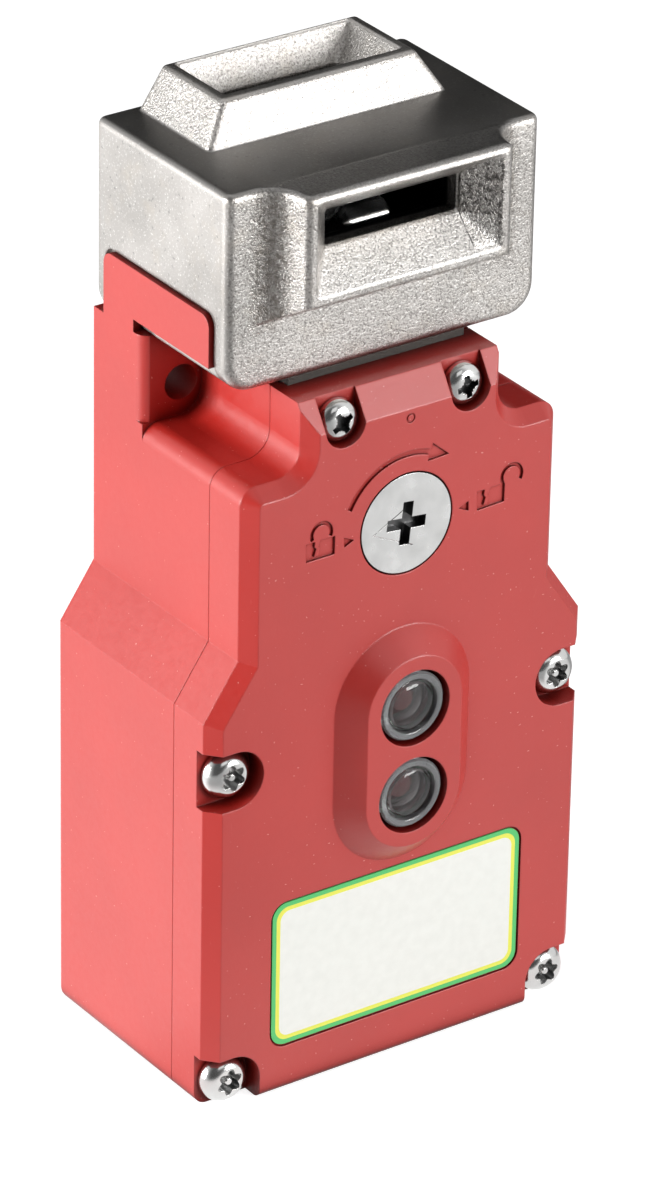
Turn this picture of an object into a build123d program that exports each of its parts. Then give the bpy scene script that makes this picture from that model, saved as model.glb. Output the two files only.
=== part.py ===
"""Solenoid interlock switch with a rotatable metal head: a moulded body and cover, a cast
actuator head with two funnelled tongue slots, and the cam, plunger, lock and contacts inside.

Millimetres. +Z is up, -Y is the front, and the origin is where the conduit entry's axis
meets the base."""

import math
import os

from build123d import *

os.makedirs("parts", exist_ok=True)

# Body envelope
body_width = 60.0
body_depth = 36.6
entry_setback = 21.2
lower_height = 58.3
shoulder_height = 66.0
upper_width = 49.5
cover_depth = 8.7
wall = 2.6
base_wall = 4.0
edge_radius = 1.0
base_corner = 2.0
base_front_edge = 1.5

# Neck, fixing pockets and ears
neck_width = 31.2
neck_height = 100.3
pocket_floor = 90.6
pocket_setback = 24.4
pocket_corner = 3.6
pocket_lip = 2.5
pocket_edge_side = 1.1
pocket_edge_depth = 2.2
pocket_edge_bulge = 0.4
seam_chamfer = 0.15
deck_height = 103.0
ear_thickness = 1.2
ear_bottom = 104.75
ear_top = 111.9
ear_setback = 9.3
ear_length = 24.3
ear_corner = 1.7
fixing_x = 18.8
fixing_rise = 1.0
fixing_radius = 2.5

# Cover front
cover_chamfer_face = 1.8
cover_chamfer_depth = 2.05
neck_bevel_height = 4.0
neck_bevel_depth = 2.6
notch_radius = 4.2
notch_depth = 3.4
head_notch_radius = 3.1
head_notch_depth = 2.8
label_width = 40.0
label_height = 21.6
label_z = 18.1
label_corner = 2.2
label_thickness = 0.25
label_sink = 0.1
label_gap = 0.3

# Screws
screw_radius = 1.5
screw_clearance = 0.2
screw_length = 16.0
cover_screw_head = 3.5
cover_screw_head_height = 2.6
screw_inset = 4.0
screw_low_z = 3.6
screw_mid_z = 49.7
screw_crown = 0.3
head_screw_head = 2.95
head_screw_head_height = 2.2
head_screw_x = 9.82
head_screw_z = 96.6
small_screw_radius = 1.0
small_screw_head = 1.9
small_screw_head_height = 1.3
small_screw_length = 6.0
flush_head_height = 0.8
fit_gap = 0.02

# Cavity and its gasket
cavity_screw_side = 5.2
cavity_side = 4.4
cavity_neck_side = 3.95
cavity_taper = 4.0
cavity_wide_bottom = 10.3
cavity_wide_top = 43.8
cavity_top = 87.3
cavity_corner = 1.5
gasket_inset = 0.9
gasket_width = 1.4
gasket_thickness = 1.0

# Conduit entry
entry_radius = 9.2
entry_boss_radius = 12.2
entry_length = 12.0

# Indicator pad and lenses
pad_height = 3.0
pad_base_radius = 10.8
pad_top_radius = 7.5
lens_low_z = 41.1
lens_pitch = 13.0
lens_bore_radius = 5.5
lens_radius = 4.95
lens_flange_radius = 6.3
lens_flange_thickness = 1.2
lens_recess = 0.5
lens_dome_radius = 3.3
lens_dome_rise = 0.35
lens_cavity_radius = 3.0
lens_wall = 1.9
led_radius = 2.5
led_length = 3.6
led_taper = 1.0
board_width = 17.0
board_thickness = 1.6
board_margin = 4.0
board_gap = 0.1

# Release
release_z = 79.95
release_disc_radius = 7.05
release_disc_gap = 0.25
release_disc_thickness = 2.8
release_stem_radius = 4.0
release_boss_radius = 9.2
release_boss_depth = 8.0
release_cross_width = 1.45
release_cross_length = 5.8
release_cross_height = 3.9
release_cross_tilt = -6.0
release_cross_depth = 1.6
release_groove_radius = 2.9
release_groove_width = 1.6
release_seal_setback = 5.0
release_peg_offset = 1.5
release_peg_radius = 1.2
release_crank_thickness = 1.2
peg_overrun = 0.5
running_gap = 0.05
clip_radius = 5.6
clip_thickness = 0.8

# Head casting
head_width = 48.4
head_front_setback = 6.1
head_depth = 30.4
head_bottom = 101.6
head_top = 129.5
head_wall = 1.9
head_side_wall = 3.7
head_floor = 2.3
head_floor_opening = 28.4
head_edge = 1.3
head_top_edge = 1.0
head_bottom_corner = 4.2
head_step_gap = 0.3
cheek_half_gap = 10.8
cheek_thickness = 3.0
keeper_gap = 0.03
snout_reach = 5.7
snout_width = 31.8
snout_flare = 0.9
snout_fillet = 4.3
snout_corner = 1.2
snout_bottom = 114.3
snout_root = 110.9
funnel_depth = 4.6
funnel_width = 29.0
funnel_high = 3.55
funnel_low = 4.65
funnel_corner = 0.9
slot_width = 20.4
slot_height = 5.0
slot_corner = 0.5
slot_inset = 7.05
crown_height = 5.6
crown_base_width = 37.0
crown_base_front = 18.9
crown_base_rear = 35.4
crown_top_width = 30.0
crown_top_front = 21.0
crown_top_rear = 35.1
crown_edge = 1.0
crown_funnel_width = 27.6
crown_funnel_front = 4.5
crown_funnel_rear = 2.2
crown_funnel_corner = 0.4
ear_gap = 0.4
ear_side_gap = 0.15
post_x = 11.8
post_radius = 2.5
post_height = 5.6

# Cam
cam_drop = 11.65
cam_radius = 12.2
cam_hub_radius = 8.0
cam_notch_radius = 7.4
cam_width = 7.4
cam_edge = 0.7
cam_nose_root = 1.0
cam_tip_corner = 0.8
cam_notch_corner = 1.5
cam_track_corner = 0.6
cam_travel = 30.0
cam_lift = 2.0
cam_sleeve_radius = 3.4
cam_side_gap = 0.2
shaft_radius = 2.0
nose_front = 134.0
nose_rear = 120.0
upper_horn_front = 78.0
upper_horn_rear = 32.0
lower_horn_top = -14.0
lower_horn_end = -36.0
sweep_gap = 0.3

# Base plate of the head
plate_thickness = 1.3
plate_side_gap = 0.4
plate_width = 27.6
plate_front_reach = 1.3
tab_bottom = 91.9
plate_window = 10.4

# Plunger
plunger_radius = 1.8
plunger_tip_round = 1.7
plunger_gap = 0.3
plunger_collar_radius = 4.6
plunger_collar_z = 93.9
plunger_collar_height = 1.2
plunger_seat_depth = 4.0
chamber_radius = 5.0
chamber_floor = 89.3
bush_height = 1.8
bush_drop = 1.0
plunger_spring_radius = 3.4
plunger_spring_wire = 0.6
plunger_spring_turns = 3

# Contact slide and contact blocks
slide_width = 30.0
slide_depth = 5.9
slide_bottom = 80.3
slide_height = 4.8
pusher_width = 3.0
pusher_length = 5.0
pusher_gap = 0.3
block_inner = 8.2
block_outer = 20.6
block_bottom = 59.7
block_height = 17.6
block_front = -9.0
block_step = 3.0
block_step_height = 7.0
block_screw_pitch = 6.2

# Lock slide and solenoid
lock_width = 12.4
lock_thickness = 2.0
lock_gap = 0.3
lock_bottom = 70.8
lock_top = 84.8
window_gap = 0.35
stem_radius = 2.0
stem_spigot_radius = 1.2
armature_radius = 4.95
armature_bottom = 35.3
armature_top = 55.6
armature_bore_radius = 3.2
armature_bore_depth = 8.0
pole_top = 34.8
pole_recess_depth = 4.5
lock_spring_radius = 2.5
lock_spring_wire = 0.5
lock_spring_turns = 5
spring_runs = 10
yoke_half_width = 10.5
yoke_half_depth = 8.85
yoke_bottom = 25.3
yoke_top = 57.3
yoke_thickness = 2.0
yoke_lug_half_width = 15.0
yoke_screw_x = 12.8
lug_half_height = 3.0
yoke_screw_low = 31.3
yoke_screw_high = 51.3
bobbin_bore_radius = 5.0
bobbin_wall = 1.0
bobbin_flange = 1.5
bobbin_flange_half = 8.2
coil_radius = 7.9

# Supply terminals
terminal_width = 36.0
terminal_bottom = 14.9
terminal_height = 9.4
terminal_front = -4.0
terminal_depth = 12.0
terminal_count = 6
terminal_pitch = 5.6
terminal_step = 3.0
terminal_screw_height = 6.3

# Planes and places that follow from the sizes above
front_y = -entry_setback
seam_y = front_y + cover_depth
rear_y = front_y + body_depth
inner_rear_y = rear_y - wall
inner_front_y = front_y + wall
pocket_y = front_y + pocket_setback
ear_front_y = front_y + ear_setback
ear_rear_y = ear_front_y + ear_length
notch_floor_y = front_y + notch_depth
head_notch_floor_y = front_y + head_notch_depth
pad_y = front_y - pad_height
lens_high_z = lens_low_z + lens_pitch
fixing_z = pocket_floor + pocket_corner + fixing_rise
head_front_y = front_y + head_front_setback
head_rear_y = head_front_y + head_depth
head_inner_front_y = head_front_y + head_wall
head_inner_rear_y = head_rear_y - head_wall - edge_radius
head_inner_top = head_top - head_wall
snout_y = head_front_y - snout_reach
slot_y = snout_y + funnel_depth
slot_z = head_top - slot_inset
crown_slot_y = head_rear_y - slot_inset
crown_top = head_top + crown_height
crown_slot_z = crown_top - funnel_depth
cam_y = crown_slot_y - cam_drop
cam_z = slot_z - cam_drop
head_floor_top = head_bottom + head_floor
cheek_outer = cheek_half_gap + cheek_thickness
plate_bottom = head_bottom - plate_thickness
plate_rear_y = pocket_y - plate_side_gap
tab_rear_y = seam_y + plate_thickness
cam_face_z = cam_z - cam_hub_radius
plunger_tip_z = cam_face_z - plunger_gap
bush_bottom = neck_height - bush_drop - bush_height
slide_top = slide_bottom + slide_height
slide_front_y = cam_y - slide_depth / 2
block_top = block_bottom + block_height
yoke_front_y = cam_y - yoke_half_depth
yoke_rear_y = cam_y + yoke_half_depth
yoke_back_y = yoke_rear_y - yoke_thickness
coil_bottom = yoke_bottom + yoke_thickness
coil_top = yoke_top - yoke_thickness
board_front_y = inner_front_y + lens_flange_thickness + board_gap
board_rear_y = board_front_y + board_thickness
board_bottom = lens_low_z - lens_flange_radius - board_margin
board_top = lens_high_z + lens_flange_radius + board_margin
board_screw_z = [board_bottom + small_screw_head + 0.1, board_top - small_screw_head - 0.1]
terminal_rear_y = terminal_front + terminal_depth
boss_rear_y = front_y + release_boss_depth
release_seal_y = front_y + release_seal_setback
disc_rear_y = front_y + release_disc_thickness
clip_front_y = boss_rear_y + running_gap
clip_rear_y = clip_front_y + clip_thickness
crank_rear_y = clip_rear_y + release_crank_thickness
lock_front_y = slide_front_y - lock_gap - running_gap - peg_overrun - lock_thickness
lock_rear_y = lock_front_y + lock_thickness
peg_rear_y = lock_rear_y + peg_overrun
lock_head_z = slide_bottom - lock_gap
window_width = 2 * (release_peg_offset + release_peg_radius + window_gap)
window_top = release_z + release_peg_offset + release_peg_radius + window_gap
window_bottom = release_z - release_peg_offset - release_peg_radius - window_gap - cam_lift
pusher_x = (block_inner + block_outer) / 2
block_middle_y = (block_front + inner_rear_y) / 2
slide_bottom_drop = pusher_length - (slide_bottom - block_top)
lens_face_y = pad_y + lens_recess
lens_spots = [(0, lens_low_z), (0, lens_high_z)]
board_screw_spots = [(0, z) for z in board_screw_z]
block_screw_spots = [
    (side * pusher_x + shift, block_bottom + block_step_height / 2)
    for side in (-1, 1)
    for shift in (-block_screw_pitch / 2, block_screw_pitch / 2)
]
terminal_spots = [
    ((index - (terminal_count - 1) / 2) * terminal_pitch, terminal_bottom + terminal_screw_height)
    for index in range(terminal_count)
]
screw_x = body_width / 2 - screw_inset
cavity_wide = body_width / 2 - cavity_side
cavity_by_screws = screw_x - cavity_screw_side
cavity_by_neck = upper_width / 2 - cavity_neck_side
cavity_taper_bottom = screw_mid_z + cavity_screw_side
cover_screw_spots = [(side * screw_x, z) for side in (-1, 1) for z in (screw_low_z, screw_mid_z)]
head_screw_spots = [(side * head_screw_x, head_screw_z) for side in (-1, 1)]
plate_screw_spots = [
    (side * post_x, y)
    for side in (-1, 1)
    for y in (head_inner_front_y + post_radius - running_gap, plate_rear_y - post_radius)
]
yoke_screw_spots = [(-yoke_screw_x, yoke_screw_high), (yoke_screw_x, yoke_screw_low)]


def upright(y):
    """Plane across the body at depth y: local x is X, local y is Z, and it faces the front."""
    return Plane.XZ.offset(-y)


def level(z):
    """Plane at height z, facing up."""
    return Plane.XY.offset(z)


def mirrored(right_half):
    """A closed outline from its right half, given as (x, z, corner radius) from the bottom up."""
    return right_half + [(-x, z, radius) for x, z, radius in reversed(right_half)]


def rounded_line(outline):
    """The outline as one closed line, each corner with its own radius."""
    points = [(x, z) for x, z, radius in outline]
    radii = [radius for x, z, radius in outline]
    return FilletPolyline(*points, radius=radii, close=True)


def body_outline(corner):
    """Front outline shared by the cover and the front part of the housing."""
    return mirrored(
        [
            (body_width / 2, 0, corner),
            (body_width / 2, lower_height, 0),
            (upper_width / 2, shoulder_height, 0),
            (upper_width / 2, pocket_floor, pocket_lip),
            (neck_width / 2, pocket_floor, pocket_corner),
            (neck_width / 2, neck_height, 0),
        ]
    )


def deck_outline():
    """Outline of the housing behind the fixing pockets, up to the deck."""
    return mirrored(
        [
            (body_width / 2, 0, base_corner),
            (body_width / 2, lower_height, 0),
            (upper_width / 2, shoulder_height, 0),
            (upper_width / 2, deck_height, 0),
        ]
    )


def cavity_outline(grow):
    """Outline of the wiring space, grown outward by an even amount."""
    convex = cavity_corner + grow
    concave = max(cavity_corner - grow, 0)
    return mirrored(
        [
            (cavity_by_screws + grow, base_wall - grow, convex),
            (cavity_by_screws + grow, cavity_wide_bottom - grow, concave),
            (cavity_wide + grow, cavity_wide_bottom - grow, convex),
            (cavity_wide + grow, cavity_wide_top + grow, convex),
            (cavity_by_screws + grow, cavity_wide_top + grow, concave),
            (cavity_by_screws + grow, cavity_taper_bottom, 0),
            (cavity_by_neck + grow, cavity_taper_bottom + cavity_taper, 0),
            (cavity_by_neck + grow, cavity_top + grow, convex),
        ]
    )


def polar(radius, degrees):
    """A point of the cam, seen along X: local x is Y and local y is Z."""
    angle = math.radians(degrees)
    return (cam_y + radius * math.cos(angle), cam_z + radius * math.sin(angle))


def cam_outline():
    """Cam profile: nose, notch, upper horn, notch, lower horn and the plunger's track."""
    track = [
        polar(cam_hub_radius - cam_lift * step / 6, -90 + cam_travel * step / 6)
        for step in range(7)
    ]
    hub = [polar(cam_hub_radius, degrees) for degrees in range(170, 271, 10)]
    corners = [
        (polar(cam_hub_radius, nose_front + 14), cam_nose_root),
        (polar(cam_radius, nose_front), cam_tip_corner),
        (polar(cam_radius, nose_rear), cam_tip_corner),
        (polar(cam_notch_radius, nose_rear - 8), cam_notch_corner),
        (polar(cam_notch_radius, upper_horn_front + 6), cam_notch_corner),
        (polar(cam_radius, upper_horn_front), cam_tip_corner),
        (polar(cam_radius, (upper_horn_front + upper_horn_rear) / 2), 0),
        (polar(cam_radius, upper_horn_rear), cam_tip_corner),
        (polar(cam_notch_radius, upper_horn_rear - 6), cam_notch_corner),
        (polar(cam_notch_radius, lower_horn_top + 8), cam_notch_corner),
        (polar(cam_radius, lower_horn_top), cam_tip_corner),
        (polar(cam_radius, lower_horn_end), cam_tip_corner),
        (polar(cam_hub_radius - cam_lift, lower_horn_end - 12), cam_track_corner),
    ]
    outline = [(y, z, radius) for (y, z), radius in corners]
    outline += [(y, z, 0) for y, z in reversed(track)]
    outline += [(y, z, 0) for y, z in reversed(hub[:-1])]
    return outline


def coil_spring(bottom, top, radius, wire, turns):
    """Compression spring around the plunger's axis, wound in short straight runs of wire."""
    height = top - bottom - wire
    runs = round(turns * spring_runs)
    points = []
    for run in range(runs + 1):
        angle = 2 * math.pi * run / spring_runs
        x = radius * math.cos(angle)
        y = cam_y + radius * math.sin(angle)
        points.append((x, y, bottom + wire / 2 + height * run / runs))
    with BuildPart() as spring:
        with BuildLine() as path:
            Polyline(*points)
        with BuildSketch(Plane(points[0], x_dir=(1, 0, 0), z_dir=path.line % 0)):
            Rectangle(wire, wire)
        sweep(transition=Transition.RIGHT)
    return spring


def cheese_screw(seat_y, spots):
    """Small flat headed screws along Y, with the head towards the front."""
    with BuildPart() as screws:
        with BuildSketch(upright(seat_y)):
            with Locations(*spots):
                Circle(small_screw_head)
        extrude(amount=small_screw_head_height)
        with BuildSketch(upright(seat_y)):
            with Locations(*spots):
                Circle(small_screw_radius)
        extrude(amount=-(small_screw_length - 2 * fit_gap))
    return screws


def pan_screw(seat_y, spots, head_radius, head_height):
    """Pan head screws along Y, seated at seat_y, with the head towards the front."""
    with BuildPart() as screws:
        with BuildSketch(upright(seat_y)):
            with Locations(*spots):
                Circle(head_radius)
        extrude(amount=head_height)
        crown_edges = screws.edges().filter_by(GeomType.CIRCLE).group_by(Axis.Y)[0]
        chamfer(crown_edges, length=screw_crown * head_radius)
        with BuildSketch(upright(seat_y)):
            with Locations(*spots):
                Circle(screw_radius)
        extrude(amount=-screw_length)
    return screws


# Housing: rear half of the body with ears, fixing pockets and the conduit entry
with BuildPart() as housing:
    with BuildSketch(upright(seam_y)):
        with BuildLine():
            rounded_line(body_outline(base_corner))
        make_face()
    extrude(amount=-(pocket_y - seam_y))
    with BuildSketch(upright(pocket_y)):
        with BuildLine():
            rounded_line(deck_outline())
        make_face()
    extrude(amount=-(rear_y - pocket_y))
    rear_face = housing.faces().sort_by(Axis.Y)[-1]
    fillet(rear_face.edges(), radius=edge_radius)
    seam_face = housing.faces().sort_by(Axis.Y)[0]
    chamfer(seam_face.edges(), length=seam_chamfer)

    # Rounded side edge of the fixing pockets
    for side in (-1, 1):
        with BuildSketch(level(pocket_floor)):
            with BuildLine():
                Polyline(
                    (side * (upper_width / 2 - pocket_edge_side), pocket_y),
                    (side * (upper_width / 2 + wall), pocket_y - wall),
                    (side * (upper_width / 2 + wall), pocket_y + pocket_edge_depth),
                    (side * upper_width / 2, pocket_y + pocket_edge_depth),
                )
                SagittaArc(
                    (side * upper_width / 2, pocket_y + pocket_edge_depth),
                    (side * (upper_width / 2 - pocket_edge_side), pocket_y),
                    side * pocket_edge_bulge,
                )
            make_face()
        extrude(amount=deck_height - pocket_floor, mode=Mode.SUBTRACT)

    # Ears that hold the head from both sides
    for side in (-1, 1):
        with BuildSketch(Plane.YZ.offset(side * upper_width / 2)):
            with BuildLine():
                rounded_line(
                    [
                        (ear_front_y, ear_bottom, 0),
                        (ear_front_y, ear_top, ear_corner),
                        (ear_rear_y, ear_top, ear_corner),
                        (ear_rear_y, deck_height - wall, 0),
                        (pocket_y + pocket_edge_depth, deck_height - wall, 0),
                        (pocket_y + pocket_edge_depth, ear_bottom, 0),
                    ]
                )
            make_face()
        extrude(amount=-side * ear_thickness)

    # Wiring space
    with BuildSketch(upright(seam_y)):
        with BuildLine():
            rounded_line(cavity_outline(0))
        make_face()
    extrude(amount=-(inner_rear_y - seam_y), mode=Mode.SUBTRACT)

    # Conduit entry boss, tied to the rear wall
    with BuildSketch(level(0)):
        Circle(entry_boss_radius)
        with Locations((0, (entry_boss_radius + inner_rear_y) / 2)):
            Rectangle(entry_boss_radius, inner_rear_y - entry_boss_radius + wall)
    extrude(amount=entry_length)
    with BuildSketch(level(0)):
        Circle(entry_radius)
    extrude(amount=entry_length, mode=Mode.SUBTRACT)

    # Posts for the solenoid and the supply terminals
    with BuildSketch(upright(yoke_rear_y)):
        with Locations(*yoke_screw_spots):
            Circle(2 * screw_radius)
    extrude(amount=-(inner_rear_y - yoke_rear_y))
    with BuildSketch(upright(terminal_rear_y)):
        with Locations((0, terminal_bottom + terminal_height / 2)):
            Rectangle(terminal_width / 2, terminal_height / 2)
    extrude(amount=-(inner_rear_y - terminal_rear_y))

    # Plunger guide and its spring chamber in the neck
    with BuildSketch(level(cavity_top)):
        with Locations((0, cam_y)):
            Circle(plunger_radius + running_gap)
    extrude(amount=chamber_floor - cavity_top, mode=Mode.SUBTRACT)
    with BuildSketch(level(chamber_floor)):
        with Locations((0, cam_y)):
            Circle(chamber_radius)
    extrude(amount=neck_height - chamber_floor, mode=Mode.SUBTRACT)

    # Room for the cam's lower horn in the neck top and the deck
    horn_reach = cam_radius + sweep_gap
    horn_rear_y = cam_y + math.sqrt(horn_reach**2 - (cam_z - deck_height) ** 2)
    with BuildSketch(level(neck_height - bush_drop)):
        with Locations((0, (cam_y + horn_rear_y) / 2)):
            Rectangle(plate_window, horn_rear_y - cam_y)
    extrude(amount=deck_height - neck_height + bush_drop, mode=Mode.SUBTRACT)

    # Seat for the head plate's tab, behind the cover
    with BuildSketch(upright(seam_y)):
        with Locations((0, (tab_bottom + neck_height) / 2)):
            Rectangle(plate_width + 2 * plate_side_gap, neck_height - tab_bottom + 2 * plate_side_gap)
    extrude(amount=-(plate_thickness + fit_gap), mode=Mode.SUBTRACT)

    # Screw holes: cover, head and solenoid screws, and the two fixing holes
    with BuildSketch(upright(seam_y)):
        with Locations(*cover_screw_spots):
            Circle(screw_radius + fit_gap)
    extrude(amount=-(screw_length - cover_depth + notch_depth + 1), mode=Mode.SUBTRACT)
    with BuildSketch(upright(seam_y)):
        with Locations(*head_screw_spots):
            Circle(screw_radius + fit_gap)
    extrude(amount=-(screw_length - cover_depth + head_notch_depth + 1), mode=Mode.SUBTRACT)
    with BuildSketch(upright(yoke_rear_y)):
        with Locations(*yoke_screw_spots):
            Circle(small_screw_radius + fit_gap)
    extrude(amount=-(small_screw_length - yoke_thickness + 0.5), mode=Mode.SUBTRACT)
    with BuildSketch(upright(pocket_y)):
        with Locations((-fixing_x, fixing_z), (fixing_x, fixing_z)):
            Circle(fixing_radius)
    extrude(amount=-(rear_y - pocket_y), mode=Mode.SUBTRACT)
housing.part.label = "housing"
export_step(housing.part, "parts/housing.step")

# Front cover
with BuildPart() as front_cover:
    with BuildSketch(upright(seam_y)):
        with BuildLine():
            rounded_line(body_outline(0))
        make_face()
    extrude(amount=cover_depth)
    front_face = front_cover.faces().sort_by(Axis.Y)[0]
    rim = front_face.edges().sort_by(Axis.Z)
    chamfer(rim[1:-1], length=cover_chamfer_depth, length2=cover_chamfer_face)
    bottom_edge = front_cover.faces().sort_by(Axis.Y)[0].edges().sort_by(Axis.Z)[0]
    fillet(bottom_edge, radius=base_front_edge)
    with BuildSketch(Plane.YZ):
        Polygon(
            (front_y, neck_height - neck_bevel_height),
            (front_y + neck_bevel_depth, neck_height),
            (front_y - 1, neck_height + 1),
            align=None,
        )
    extrude(amount=neck_width / 2, both=True, mode=Mode.SUBTRACT)

    # Raised pad around the two indicators
    with BuildSketch(upright(front_y)):
        with Locations((0, lens_low_z + lens_pitch / 2)):
            SlotCenterToCenter(lens_pitch, 2 * pad_base_radius, rotation=90)
    with BuildSketch(upright(pad_y)):
        with Locations((0, lens_low_z + lens_pitch / 2)):
            SlotCenterToCenter(lens_pitch, 2 * pad_top_radius, rotation=90)
    loft(ruled=True)

    # Hollow
    with BuildSketch(upright(seam_y)):
        with BuildLine():
            rounded_line(cavity_outline(0))
        make_face()
    extrude(amount=seam_y - inner_front_y, mode=Mode.SUBTRACT)

    # Boss that carries the release
    with BuildSketch(upright(boss_rear_y)):
        with Locations((0, release_z)):
            Circle(release_boss_radius)
    extrude(amount=boss_rear_y - inner_front_y)
    with BuildSketch(upright(front_y)):
        with Locations((0, release_z)):
            Circle(release_disc_radius + release_disc_gap)
    extrude(amount=-(release_disc_thickness + running_gap), mode=Mode.SUBTRACT)
    with BuildSketch(upright(front_y)):
        with Locations((0, release_z)):
            Circle(release_stem_radius + running_gap)
    extrude(amount=-release_boss_depth, mode=Mode.SUBTRACT)

    # Gasket groove
    with BuildSketch(upright(seam_y)):
        with BuildLine():
            rounded_line(cavity_outline(gasket_inset + gasket_width))
        make_face()
        with BuildLine():
            rounded_line(cavity_outline(gasket_inset))
        make_face(mode=Mode.SUBTRACT)
    extrude(amount=gasket_thickness, mode=Mode.SUBTRACT)

    # Lens bores and the bosses under the indicator board
    with BuildSketch(upright(pad_y)):
        with Locations(*lens_spots):
            Circle(lens_bore_radius)
    extrude(amount=-(pad_height + wall), mode=Mode.SUBTRACT)
    with BuildSketch(upright(board_front_y)):
        with Locations(*board_screw_spots):
            Circle(2 * small_screw_radius)
    extrude(amount=board_front_y - inner_front_y)
    with BuildSketch(upright(board_front_y)):
        with Locations(*board_screw_spots):
            Circle(small_screw_radius + fit_gap)
    extrude(amount=small_screw_length - board_thickness + fit_gap, mode=Mode.SUBTRACT)

    # Shallow recess for the label
    with BuildSketch(upright(front_y)):
        with Locations((0, label_z)):
            RectangleRounded(
                label_width + 2 * label_gap,
                label_height + 2 * label_gap,
                label_corner + label_gap,
            )
    extrude(amount=-(label_sink + label_thickness), mode=Mode.SUBTRACT)

    # Screw notches, open to the outside, and the screw holes
    for side in (-1, 1):
        for z in (screw_low_z, screw_mid_z):
            with BuildSketch(upright(front_y)):
                with Locations((side * screw_x, z)):
                    Circle(notch_radius)
                with Locations((side * (screw_x + notch_radius), z)):
                    Rectangle(2 * notch_radius, 2 * notch_radius)
            extrude(amount=-notch_depth, mode=Mode.SUBTRACT)
    with BuildSketch(upright(front_y)):
        for side in (-1, 1):
            with Locations((side * screw_x, screw_low_z - notch_radius)):
                Rectangle(2 * notch_radius, 2 * notch_radius)
    extrude(amount=-notch_depth, mode=Mode.SUBTRACT)
    with BuildSketch(upright(front_y)):
        with Locations(*head_screw_spots):
            Circle(head_notch_radius)
        with Locations(*[(x, z + 2 * head_notch_radius) for x, z in head_screw_spots]):
            Rectangle(2 * head_notch_radius, 4 * head_notch_radius)
    extrude(amount=-head_notch_depth, mode=Mode.SUBTRACT)
    base_edges = front_cover.edges().filter_by(Axis.Y).group_by(Axis.Z)[0].sort_by(Axis.X)
    fillet([base_edges[0], base_edges[-1]], radius=base_corner)
    seam_face = front_cover.faces().sort_by(Axis.Y)[-1]
    chamfer(seam_face.outer_wire().edges(), length=seam_chamfer)
    with BuildSketch(upright(front_y)):
        with Locations(*(cover_screw_spots + head_screw_spots)):
            Circle(screw_radius + screw_clearance)
    extrude(amount=-cover_depth, mode=Mode.SUBTRACT)
front_cover.part.label = "front_cover"
export_step(front_cover.part, "parts/front_cover.step")

# Gasket between cover and housing
with BuildPart() as cover_gasket:
    with BuildSketch(upright(seam_y)):
        with BuildLine():
            rounded_line(cavity_outline(gasket_inset + gasket_width))
        make_face()
        with BuildLine():
            rounded_line(cavity_outline(gasket_inset))
        make_face(mode=Mode.SUBTRACT)
    extrude(amount=gasket_thickness)
cover_gasket.part.label = "cover_gasket"
export_step(cover_gasket.part, "parts/cover_gasket.step")

# Label
with BuildPart() as label_plate:
    with BuildSketch(upright(front_y + label_sink + label_thickness)):
        with Locations((0, label_z)):
            RectangleRounded(label_width, label_height, label_corner)
    extrude(amount=label_thickness)
label_plate.part.label = "label_plate"
export_step(label_plate.part, "parts/label_plate.step")

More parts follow.
